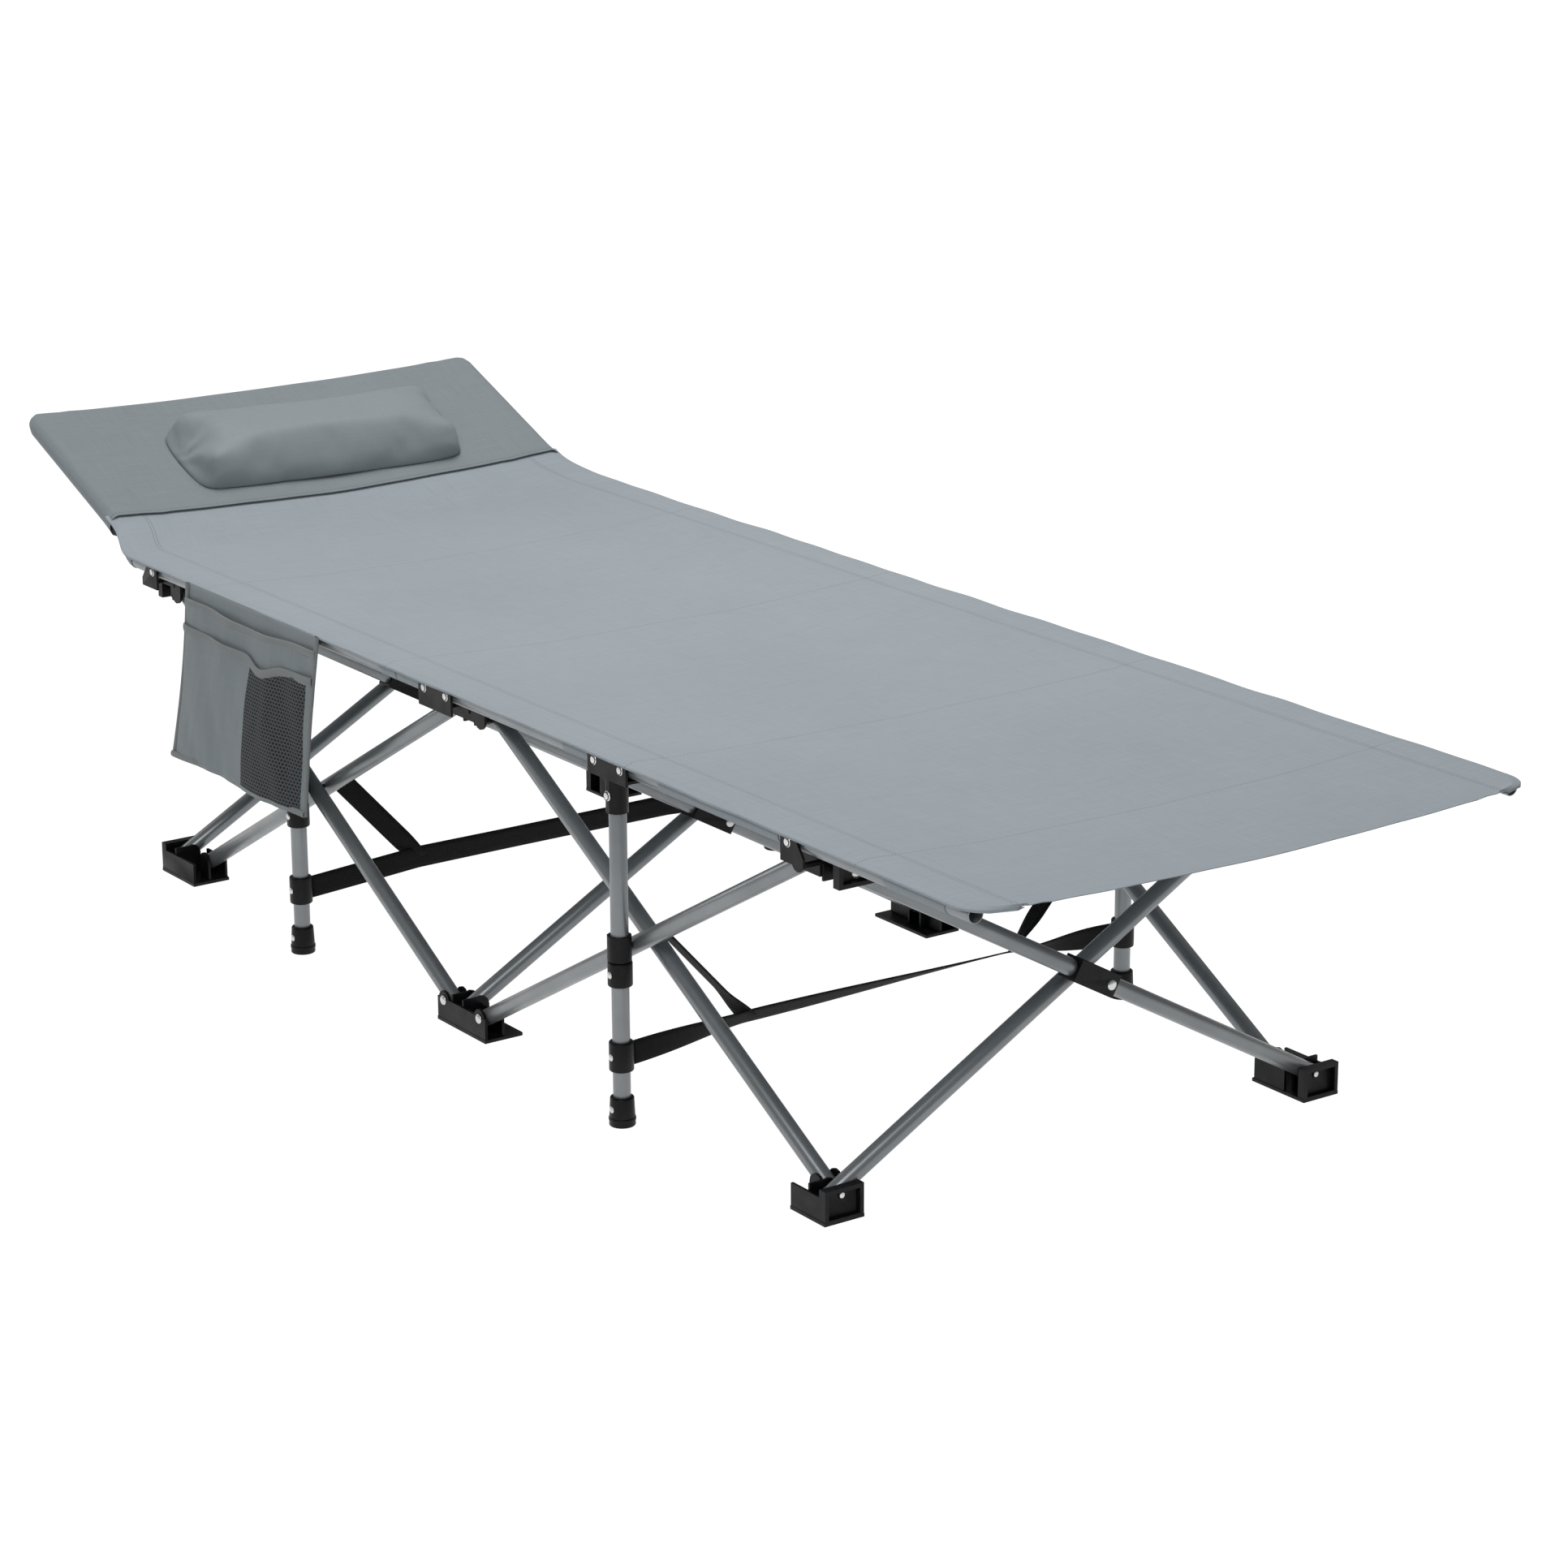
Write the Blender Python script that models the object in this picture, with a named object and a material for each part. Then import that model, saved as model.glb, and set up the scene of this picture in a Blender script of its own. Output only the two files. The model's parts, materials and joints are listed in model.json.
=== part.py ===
"""Folding camp bed that stands on ten feet and folds to a bundle.

Each long side is a pair of scissors: crossed tubes between three shoes on the
ground and three brackets under the rails. Each shoe and bracket is joined to
the one across the bed by a pair of crossed tubes too. A post slides in a
collar at each crossing of the long sides and carries the rails' hinges.

X runs along the bed from its head (-X) to its foot (+X), the near side is -Y
and Z is up. The frame looks the same after half a turn about Z, so shoes,
brackets and long tubes are shaped for the far side, at y > 0, and the same
meshes turned by half a turn make the near side.
"""

from math import atan2, cos, hypot, pi, radians, sin, sqrt, tan

import bmesh
import bpy
from mathutils import Matrix, Vector

# Driving sizes of the scissors
RUN = 0.644            # level distance between a scissor tube's end pivots
RISE = 0.362           # height between a scissor tube's end pivots
FOOT_PIVOT_Z = 0.0275  # height of the pivots in the shoes
LONG_OFFSET = 0.040    # a long tube's pivot from the middle of its shoe
CROSS_OFFSET = 0.0125  # a cross tube from the middle of its shoe

# Tubes, rails and pins
TUBE_R = 0.0100
TUBE_WALL = 0.0012
RAIL_R = 0.0095
RAIL_WALL = 0.0012
TIP = 0.007            # tube left past its end pivot
TUBE_SIDES = 12
PIN_R = 0.0030
PIN_SIDES = 6
RIVET_R = 0.0052
RIVET_HEAD = 0.0012

# Clearances
TOUCH = 0.0003         # between pieces that touch
PLAY = 0.0006          # between a tube and its cheeks
PIN_PLAY = 0.0002      # round a pin in its hole
RAIL_PLAY = 0.0009     # between a rail and its fork
TUBE_GAP = 0.0025      # between the two tubes of a long crossing
SINK = 0.0005          # how far joined shapes run into each other

# Black mouldings
SOLE = 0.0040          # floor of a shoe
CHEEK = 0.0032         # inner walls of shoes and brackets
PLATE = 0.0040         # outer walls of shoes and end brackets
LUG_R = 0.0115         # rounding of a wall round its pin
END_BLOCK = 0.0110     # depth of the recessed end of a shoe or bracket
RECESS_RIM = 0.0050    # rim round that recess
TOP_PLATE = 0.0040     # roof of a bracket
TOP_ROOM = 0.0155      # pivot to the underside of that roof
INBOARD_REACH = 0.0240  # shoe or bracket inboard of the cross pivot
END_MARGIN = 0.0140    # shoe or bracket past a long tube's pivot
SADDLE_Z = 0.0300      # low middle of a shoe's outer wall
BOSS_R = 0.0070        # spacer round a pin

# Rails
SIDE_SHIFT = 0.0130    # outer long tubes outboard of the cross pivots
RAIL_LIFT = 0.0305     # rail axis above the bracket pivots
FORK_WALL = 0.0030
FORK_OFFSET = 0.024    # rail pivot from the middle of a bracket
POST_FORK_OFFSET = 0.026
FORK_MARGIN = 0.0120   # fork plate past a rail pivot
FORK_DROP = 0.0220     # bottom of a bracket's fork under the rail axis
FORK_WEB = 0.0040      # thickness of the web that joins its plates
FORK_WEB_HALF = 0.0040  # half length of that web, which the folding rails clear
FORK_STRIP = 0.0100    # height of the outer plate where it reaches out to the web
LAP_LENGTH = 0.0440    # halved end of a rail at the middle bracket
LAP_GAP = 0.0008       # between two halved ends as they cross
HEAD_OVERHANG = 0.385
FOOT_OVERHANG = 0.295
HEAD_BEND_START = 0.035   # past the head bracket
HEAD_CREASE = 0.140       # past the head bracket, where the steep part starts
HEAD_SLOPE = radians(15)
HEADREST_SLOPE = radians(22)
BEND_LENGTH = 0.050
HEAD_TOE_IN = 0.026    # each rail's way inboard at the head
RAIL_STEP = 0.050

# Posts
POST_SINK = 0.0250     # post top under the rail axis
CAP_R = 0.0145
CAP_HEIGHT = 0.0340
CAP_FLOOR = 0.0035
COLLAR_R = 0.0140
COLLAR_HEIGHT = 0.0290
STOP_HEIGHT = 0.0280
STOP_GAP = 0.0015      # under the sliding collar
STRAP_COLLAR_Z = 0.082
STRAP_COLLAR_HEIGHT = 0.034

# Clamps of the cross tubes
CLAMP_LENGTH = 0.062
CLAMP_WALL = 0.0030
CLAMP_FACE = 0.0040    # outer side of the clamp

# Sheet, pillow, bag and straps
SHEET = 0.0024
SHEET_SAG = 0.012
SHEET_FLAT = 0.0245    # level strip over each rail
SHEET_PAST_RAIL = 0.004
SHEET_CORNER = 0.030
SHEET_COLUMNS = 11
PILLOW_LENGTH = 0.400
PILLOW_WIDTH = 0.150
PILLOW_HEIGHT = 0.078
PILLOW_FLAT = 0.006     # flattened off its underside
PILLOW_SEAT = 0.0009    # over the sheet's facets
PILLOW_Y = 0.012
PILLOW_PAST_CREASE = 0.010
PILLOW_RINGS = 19
PILLOW_SIDES = 20
BAG_ABOVE_RAIL = 0.0080  # bag's top over the rail axis
BAG_HEIGHT = 0.2280
BAG_LENGTH = 0.338
BAG_FROM_POST = 0.238  # bag's head end from the post that it hangs over
BAG_DEPTH = 0.0160
BAG_WALL = 0.0024
BAG_FLARE = 0.0180     # how far its bottom swings out
STRAP = 0.0030
STRAP_WIDTH = 0.030
BRANCH_WIDTH = 0.026
STRAP_JOIN_Y = 0.190
STRAP_JOIN_Z = 0.092

# Worked out from the sizes above
PITCH = RUN + 2 * LONG_OFFSET
POST_X = PITCH / 2
TOP_PIVOT_Z = FOOT_PIVOT_Z + RISE
CROSSING_Z = FOOT_PIVOT_Z + RISE / 2
RAIL_Z = TOP_PIVOT_Z + RAIL_LIFT
CROSS_Y = RUN / 2
OUTER_Y = CROSS_Y + SIDE_SHIFT
INNER_Y = OUTER_Y - 2 * TUBE_R - TUBE_GAP
PLATE_IN = OUTER_Y + TUBE_R + PLAY
PLATE_OUT = PLATE_IN + PLATE
RAIL_Y = PLATE_OUT + RAIL_PLAY + RAIL_R
FORK_IN = RAIL_Y - RAIL_R - RAIL_PLAY
FORK_OUT = RAIL_Y + RAIL_R + RAIL_PLAY
SIDE_OUT = FORK_OUT + FORK_WALL + RIVET_HEAD
INBOARD_Y = CROSS_Y - INBOARD_REACH
SLOT = TUBE_R + TOUCH
TIP_SWEEP = hypot(TIP, TUBE_R)
HOLE_R = (PIN_R + PIN_PLAY) / cos(pi / PIN_SIDES)
POST_TOP_Z = RAIL_Z - POST_SINK
FORK_TOP_Z = RAIL_Z + RAIL_R - SINK
BAG_BACK_Y = SIDE_OUT + TOUCH
BAG_TOP_Z = RAIL_Z + BAG_ABOVE_RAIL
BAG_BOTTOM_Z = BAG_TOP_Z - BAG_HEIGHT

HEAD_X = -PITCH - HEAD_OVERHANG
FOOT_X = PITCH + FOOT_OVERHANG
SHEET_HEAD_X = HEAD_X - SHEET_PAST_RAIL
SHEET_FOOT_X = FOOT_X + SHEET_PAST_RAIL
BAG_OUT_Y = BAG_BACK_Y + BAG_DEPTH + BAG_FLARE
CENTRE_X = -(SHEET_HEAD_X + SHEET_FOOT_X) / 2
CENTRE_Y = (BAG_OUT_Y - SIDE_OUT) / 2

FAR_ENDS = {-1: "head", 0: "middle", 1: "foot"}
X, Y, Z = range(3)


# Scene, paint and placing

def clear_scene():
    for thing in list(bpy.data.objects):
        bpy.data.objects.remove(thing, do_unlink=True)


def make_paint(name, colour, roughness, metallic=0.0):
    paint = bpy.data.materials.new(name)
    paint.use_nodes = True
    shader = paint.node_tree.nodes["Principled BSDF"]
    shader.inputs["Base Color"].default_value = (*colour, 1.0)
    shader.inputs["Roughness"].default_value = roughness
    shader.inputs["Metallic"].default_value = metallic
    paint.diffuse_color = (*colour, 1.0)
    return paint


def place(name, mesh, origin, paint, turned=False):
    """Put a mesh, shaped round its own origin, at that origin or half a turn away."""
    piece = bpy.data.objects.new(name, mesh)
    bpy.context.collection.objects.link(piece)
    piece.parent = bed
    piece.location = Vector((-origin[X], -origin[Y], origin[Z])) if turned else Vector(origin)
    piece.rotation_euler.z = pi if turned else 0.0
    if not mesh.materials:
        mesh.materials.append(paint)
    return piece


def place_pair(kind, station, mesh, origin, paint):
    """The far piece of a station and its twin on the near side, half a turn away."""
    place(f"{kind}_far_{FAR_ENDS[station]}", mesh, origin, paint)
    place(f"{kind}_near_{FAR_ENDS[-station]}", mesh, origin, paint, turned=True)


def centred(mesh, origin, sharp=35):
    """Move a mesh's points so that the given place becomes its origin."""
    mesh.transform(Matrix.Translation(-Vector(origin)))
    mesh.shade_smooth()
    mesh.set_sharp_from_angle(angle=radians(sharp))
    return mesh


# Basic shapes

def as_mesh(form, name="shape"):
    bmesh.ops.recalc_face_normals(form, faces=form.faces)
    mesh = bpy.data.meshes.new(name)
    form.to_mesh(mesh)
    form.free()
    return mesh


def box(x_range, y_range, z_range):
    form = bmesh.new()
    bmesh.ops.create_cube(form, size=1.0)
    low = Vector((x_range[0], y_range[0], z_range[0]))
    high = Vector((x_range[1], y_range[1], z_range[1]))
    size = Matrix.Diagonal((*(high - low), 1.0))
    form.transform(Matrix.Translation((low + high) / 2) @ size)
    return as_mesh(form)


def prism(outline, axis, low, high):
    """The closed outline, drawn on the other two axes, extruded along one axis."""
    others = [other for other in (X, Y, Z) if other != axis]
    form = bmesh.new()
    ring = []
    for point in outline:
        spot = [low, low, low]
        spot[others[0]] = point[0]
        spot[others[1]] = point[1]
        ring.append(form.verts.new(spot))
    face = form.faces.new(ring)
    grown = bmesh.ops.extrude_face_region(form, geom=[face])
    moved = [item for item in grown["geom"] if isinstance(item, bmesh.types.BMVert)]
    shift = Vector((0.0, 0.0, 0.0))
    shift[axis] = high - low
    bmesh.ops.translate(form, verts=moved, vec=shift)
    return as_mesh(form)


def arc(centre, radius, start, end, steps):
    """Points along an arc, with its angles in degrees."""
    points = []
    for step in range(steps + 1):
        angle = radians(start + (end - start) * step / steps)
        points.append((centre[0] + radius * cos(angle), centre[1] + radius * sin(angle)))
    return points


def lug(axis, pivot, base_z, low, high, radius=LUG_R):
    """A wall from its base to a rounded end over or under its pivot."""
    if base_z < pivot[1]:
        outline = arc(pivot, radius, 0, 180, 6)
        outline += [(pivot[0] - radius, base_z), (pivot[0] + radius, base_z)]
    else:
        outline = arc(pivot, radius, 180, 360, 6)
        outline += [(pivot[0] + radius, base_z), (pivot[0] - radius, base_z)]
    return prism(outline, axis, low, high)


def rod(start, end, radius, sides=PIN_SIDES):
    """A solid round bar, with a flat side facing up where it lies level."""
    start = Vector(start)
    along = Vector(end) - start
    form = bmesh.new()
    turn = Vector((0.0, 0.0, 1.0)).rotation_difference(along.normalized()).to_matrix().to_4x4()
    place_it = Matrix.Translation(start + along / 2) @ turn @ Matrix.Rotation(pi / sides, 4, "Z")
    bmesh.ops.create_cone(form, cap_ends=True, segments=sides, radius1=radius,
                          radius2=radius, depth=along.length, matrix=place_it)
    return as_mesh(form)


def pin(axis, centre, low, high, head_at=None):
    """A pin along an axis, and its rivet head on the side of the given end."""
    spots = [[0.0, 0.0, 0.0], [0.0, 0.0, 0.0]]
    others = [other for other in (X, Y, Z) if other != axis]
    for spot, end in zip(spots, (low, high)):
        spot[axis] = end
        spot[others[0]] = centre[0]
        spot[others[1]] = centre[1]
    shapes = [rod(spots[0], spots[1], PIN_R)]
    if head_at is not None:
        outward = 1.0 if head_at > (low + high) / 2 else -1.0
        inner = list(spots[0])
        outer = list(spots[0])
        inner[axis] = head_at - outward * SINK
        outer[axis] = head_at + outward * RIVET_HEAD
        shapes.append(rod(inner, outer, RIVET_R, 10))
    return shapes


def pipe(path, outer, inner, across, sides=TUBE_SIDES):
    """A hollow tube with open ends along a path, the first point of each ring to one side."""
    form = bmesh.new()
    path = [Vector(point) for point in path]
    loops = []
    for index, point in enumerate(path):
        before = path[max(index - 1, 0)]
        after = path[min(index + 1, len(path) - 1)]
        along = (after - before).normalized()
        side = (Vector(across) - along * along.dot(Vector(across))).normalized()
        up = along.cross(side)
        rings = []
        for radius in (outer, inner):
            ring = []
            for step in range(sides):
                angle = 2 * pi * (step + 0.5) / sides
                ring.append(form.verts.new(point + radius * (side * cos(angle) + up * sin(angle))))
            rings.append(ring)
        loops.append(rings)
    for (outer_a, inner_a), (outer_b, inner_b) in zip(loops, loops[1:]):
        for step in range(sides):
            after = (step + 1) % sides
            form.faces.new((outer_a[step], outer_a[after], outer_b[after], outer_b[step]))
            form.faces.new((inner_a[step], inner_b[step], inner_b[after], inner_a[after]))
    for rings in (loops[0], loops[-1]):
        for step in range(sides):
            after = (step + 1) % sides
            form.faces.new((rings[0][step], rings[1][step], rings[1][after], rings[0][after]))
    return as_mesh(form)


def fuse(shapes, cutters=()):
    """One closed mesh: the shapes joined, less the cutters."""
    helpers = []
    for mesh in (*shapes, *cutters):
        helper = bpy.data.objects.new("helper", mesh)
        helper.hide_render = True
        helper.display_type = "WIRE"
        bpy.context.collection.objects.link(helper)
        helpers.append(helper)
    base = helpers[0]
    for index, helper in enumerate(helpers[1:], start=1):
        step = base.modifiers.new("join", "BOOLEAN")
        step.operation = "UNION" if index < len(shapes) else "DIFFERENCE"
        step.solver = "EXACT"
        step.object = helper
    depsgraph = bpy.context.evaluated_depsgraph_get()
    whole = bpy.data.meshes.new_from_object(base.evaluated_get(depsgraph))
    for helper in helpers:
        bpy.data.objects.remove(helper, do_unlink=True)
    form = bmesh.new()
    form.from_mesh(whole)
    bmesh.ops.dissolve_limit(form, angle_limit=radians(0.2), verts=form.verts, edges=form.edges)
    form.to_mesh(whole)
    form.free()
    return whole


# Tubes

def tube_between(start, end, across, holes):
    """A scissor tube with plain ends a little past its end pivots, drilled for its pins."""
    start = Vector(start)
    end = Vector(end)
    along = (end - start).normalized()
    path = [start - along * TIP, end + along * TIP]
    body = pipe(path, TUBE_R, TUBE_R - TUBE_WALL, across)
    reach = Vector(across) * 2 * TUBE_R
    drills = [rod(hole - reach, hole + reach, HOLE_R) for hole in map(Vector, holes)]
    return fuse([body], drills)


def make_long_tubes():
    """Outer tubes from the end brackets to the middle shoe, inner ones the other way."""
    crossing_x = POST_X
    for end in (-1, 1):
        outer_foot = (end * LONG_OFFSET, OUTER_Y, FOOT_PIVOT_Z)
        outer_top = (end * (PITCH - LONG_OFFSET), OUTER_Y, TOP_PIVOT_Z)
        outer_mid = (end * crossing_x, OUTER_Y, CROSSING_Z)
        mesh = tube_between(outer_foot, outer_top, (0, 1, 0), (outer_foot, outer_mid, outer_top))
        place_pair("outer_tube", end, centred(mesh, outer_foot), outer_foot, silver)
        inner_top = (end * LONG_OFFSET, INNER_Y, TOP_PIVOT_Z)
        inner_foot = (end * (PITCH - LONG_OFFSET), INNER_Y, FOOT_PIVOT_Z)
        inner_mid = (end * crossing_x, INNER_Y, CROSSING_Z)
        mesh = tube_between(inner_top, inner_foot, (0, 1, 0), (inner_top, inner_mid, inner_foot))
        place_pair("inner_tube", end, centred(mesh, inner_top), inner_top, silver)


def make_cross_tubes():
    """A falling and a rising tube at each station, seen from the near side."""
    for station, end in FAR_ENDS.items():
        x_fall = station * PITCH + CROSS_OFFSET
        x_rise = station * PITCH - CROSS_OFFSET
        near_top = (x_fall, -CROSS_Y, TOP_PIVOT_Z)
        far_foot = (x_fall, CROSS_Y, FOOT_PIVOT_Z)
        near_foot = (x_rise, -CROSS_Y, FOOT_PIVOT_Z)
        far_top = (x_rise, CROSS_Y, TOP_PIVOT_Z)
        middle = (x_rise, 0.0, CROSSING_Z)
        fall_origin = near_top if station else (x_fall, 0.0, CROSSING_Z)
        mesh = tube_between(near_top, far_foot, (1, 0, 0), (near_top, far_foot))
        place(f"falling_tube_{end}", centred(mesh, fall_origin), fall_origin, silver)
        mesh = tube_between(near_foot, far_top, (1, 0, 0), (near_foot, middle, far_top))
        place(f"rising_tube_{end}", centred(mesh, near_foot), near_foot, silver)
        make_clamp(station, end)


def make_clamp(station, end):
    """Sleeve on the falling tube, with the pin that the rising tube turns on."""
    x_fall = station * PITCH + CROSS_OFFSET
    x_rise = station * PITCH - CROSS_OFFSET
    x_inner = x_fall - SLOT - CLAMP_WALL + SINK
    x_outer = x_fall + SLOT + CLAMP_FACE
    half = SLOT + CLAMP_WALL
    half_length = CLAMP_LENGTH / 2
    body = box((x_inner, x_outer), (-half_length, half_length), (-half, half))
    bore = rod((x_fall, -CLAMP_LENGTH, 0), (x_fall, CLAMP_LENGTH, 0), SLOT, TUBE_SIDES)
    slope = Matrix.Rotation(-atan2(RISE, RUN), 4, "X")
    lift = Matrix.Translation((0.0, 0.0, CROSSING_Z))
    for mesh in (body, bore):
        mesh.transform(lift @ slope)
    rivet_y = half_length - RIVET_R - CLAMP_WALL
    rivet = slope @ Vector((0.0, rivet_y, 0.0))
    far_face = x_rise - TUBE_R - PLAY
    shapes = [body, rod((x_inner + SINK, 0, CROSSING_Z), (far_face - RIVET_HEAD, 0, CROSSING_Z), PIN_R)]
    shapes.append(rod((far_face, 0, CROSSING_Z), (far_face - RIVET_HEAD, 0, CROSSING_Z), RIVET_R, 10))
    shapes.append(rod((x_outer - SINK, rivet.y, CROSSING_Z + rivet.z),
                      (x_outer + RIVET_HEAD, rivet.y, CROSSING_Z + rivet.z), RIVET_R, 10))
    origin = (x_fall, 0.0, CROSSING_Z)
    place(f"cross_clamp_{end}", centred(fuse(shapes, [bore]), origin), origin, black)


# Shoes and brackets

def recessed_end(x_face, x_slot, y_low, y_high, z_low, z_high):
    """The thick end of a shoe or bracket, and the cutter of the recess in its face."""
    x_wall = x_slot + (CHEEK if x_face > x_slot else -CHEEK)
    x_past = x_face + (CHEEK if x_face > x_slot else -CHEEK)
    block = box(sorted((x_slot, x_face)), (y_low, y_high), (z_low, z_high))
    hollow = box(sorted((x_wall, x_past)), (y_low + RECESS_RIM, y_high - RECESS_RIM),
                 (z_low + RECESS_RIM, z_high - RECESS_RIM))
    return block, hollow


def long_cheeks(x, z, base_z, plane, outer_from):
    """The two walls beside a long tube's end, and the pin between them."""
    inner_low = plane - TUBE_R - PLAY - CHEEK
    inner_high = plane - TUBE_R - PLAY
    shapes = [lug(Y, (x, z), base_z, inner_low, inner_high)]
    outer_high = outer_from + CHEEK
    if outer_from > plane + TUBE_R + 2 * PLAY:
        shapes.append(rod((x, plane + TUBE_R + PLAY, z), (x, outer_from + SINK, z), BOSS_R, 10))
    shapes.append(lug(Y, (x, z), base_z, outer_from, outer_high))
    shapes += pin(Y, (x, z), inner_low + SINK, outer_high - SINK)
    return shapes


def make_shoe(station):
    """A shoe under the far side: an open-topped box round the tube ends."""
    middle = station * PITCH
    cross_x = middle + CROSS_OFFSET
    long_z = FOOT_PIVOT_Z
    sides = (-1, 1) if station == 0 else (-station,)
    slot_low = cross_x - SLOT
    slot_high = cross_x + SLOT
    wall_top = FOOT_PIVOT_Z + LUG_R
    shapes = []
    cutters = []
    reach = {side: middle + side * (LONG_OFFSET + END_MARGIN) for side in sides}
    if station:
        face_from = slot_high if station > 0 else slot_low
        reach[station] = face_from + station * END_BLOCK
    x_low = reach[-1]
    x_high = reach[1]
    shapes.append(box((x_low, x_high), (INBOARD_Y, PLATE_OUT), (0.0, SOLE)))
    inset = SINK
    shapes.append(box((x_low + inset, x_high - inset), (PLATE_IN, PLATE_OUT - inset), (inset, SADDLE_Z)))
    for x_in, x_out in ((slot_low, slot_low - CHEEK), (slot_high, slot_high + CHEEK)):
        shapes.append(lug(X, (CROSS_Y, FOOT_PIVOT_Z), inset, *sorted((x_in, x_out))))
        shapes.append(box(sorted((x_in, x_out)), (CROSS_Y, PLATE_IN + inset), (inset, wall_top - 2 * inset)))
    shapes += pin(X, (CROSS_Y, FOOT_PIVOT_Z), slot_low - CHEEK + inset, slot_high + CHEEK - inset)
    for side in sides:
        x = middle + side * LONG_OFFSET
        if station == 0:
            shapes += long_cheeks(x, long_z, inset, OUTER_Y, PLATE_IN)
            shapes += pin(Y, (x, long_z), PLATE_IN, PLATE_OUT - inset, PLATE_OUT - inset)
        else:
            shapes += long_cheeks(x, long_z, inset, INNER_Y, INNER_Y + TUBE_R + PLAY)
        cheek_low = (INNER_Y if station else OUTER_Y) - TUBE_R - PLAY - CHEEK
        near_slot = slot_high + CHEEK - inset if side > 0 else slot_low - CHEEK + inset
        near_lug = x - side * (LUG_R - inset)
        shapes.append(box(sorted((near_slot, near_lug)), (cheek_low, cheek_low + CHEEK), (inset, SADDLE_Z)))
    if station:
        block, hollow = recessed_end(reach[station], face_from, INBOARD_Y + inset, PLATE_OUT - inset,
                                     inset, wall_top)
        shapes.append(block)
        cutters.append(hollow)
        head = face_from + station * CHEEK
        shapes += pin(X, (CROSS_Y, FOOT_PIVOT_Z), min(face_from, head), max(face_from, head), head)[1:]
    origin = (cross_x, CROSS_Y, FOOT_PIVOT_Z)
    if station:
        origin = (middle - station * LONG_OFFSET, INNER_Y, FOOT_PIVOT_Z)
    ordered = fuse(shapes[:-1] if station else shapes, cutters)
    mesh = fuse([ordered, shapes[-1]]) if station else ordered
    place_pair("shoe", station, centred(mesh, origin), origin, black)


def fork_plates(pivots, web_x, z_low):
    """Two plates beside the rail, reaching low down as far as the web that joins them."""
    x_low = min(pivots) - FORK_MARGIN
    x_high = max(pivots) + FORK_MARGIN
    outline = [(x_low, z_low), (x_low, FORK_TOP_Z), (x_high, FORK_TOP_Z)]
    if web_x[1] > x_high:
        outline += [(web_x[1], z_low + FORK_STRIP), (web_x[1], z_low)]
    elif web_x[0] < x_low:
        outline = [(x_high, z_low), (x_high, FORK_TOP_Z), (x_low, FORK_TOP_Z),
                   (web_x[0], z_low + FORK_STRIP), (web_x[0], z_low)]
    else:
        outline.append((x_high, z_low))
    return [prism(outline, Y, low, low + FORK_WALL) for low in (FORK_IN - FORK_WALL, FORK_OUT)]


def rail_rivets(pivots):
    """The pins that rails turn on, right through both plates, each with its head."""
    shapes = []
    for x in pivots:
        shapes += pin(Y, (x, RAIL_Z), FORK_IN - FORK_WALL + SINK, FORK_OUT + FORK_WALL - SINK,
                      FORK_OUT + FORK_WALL)
    return shapes


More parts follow.
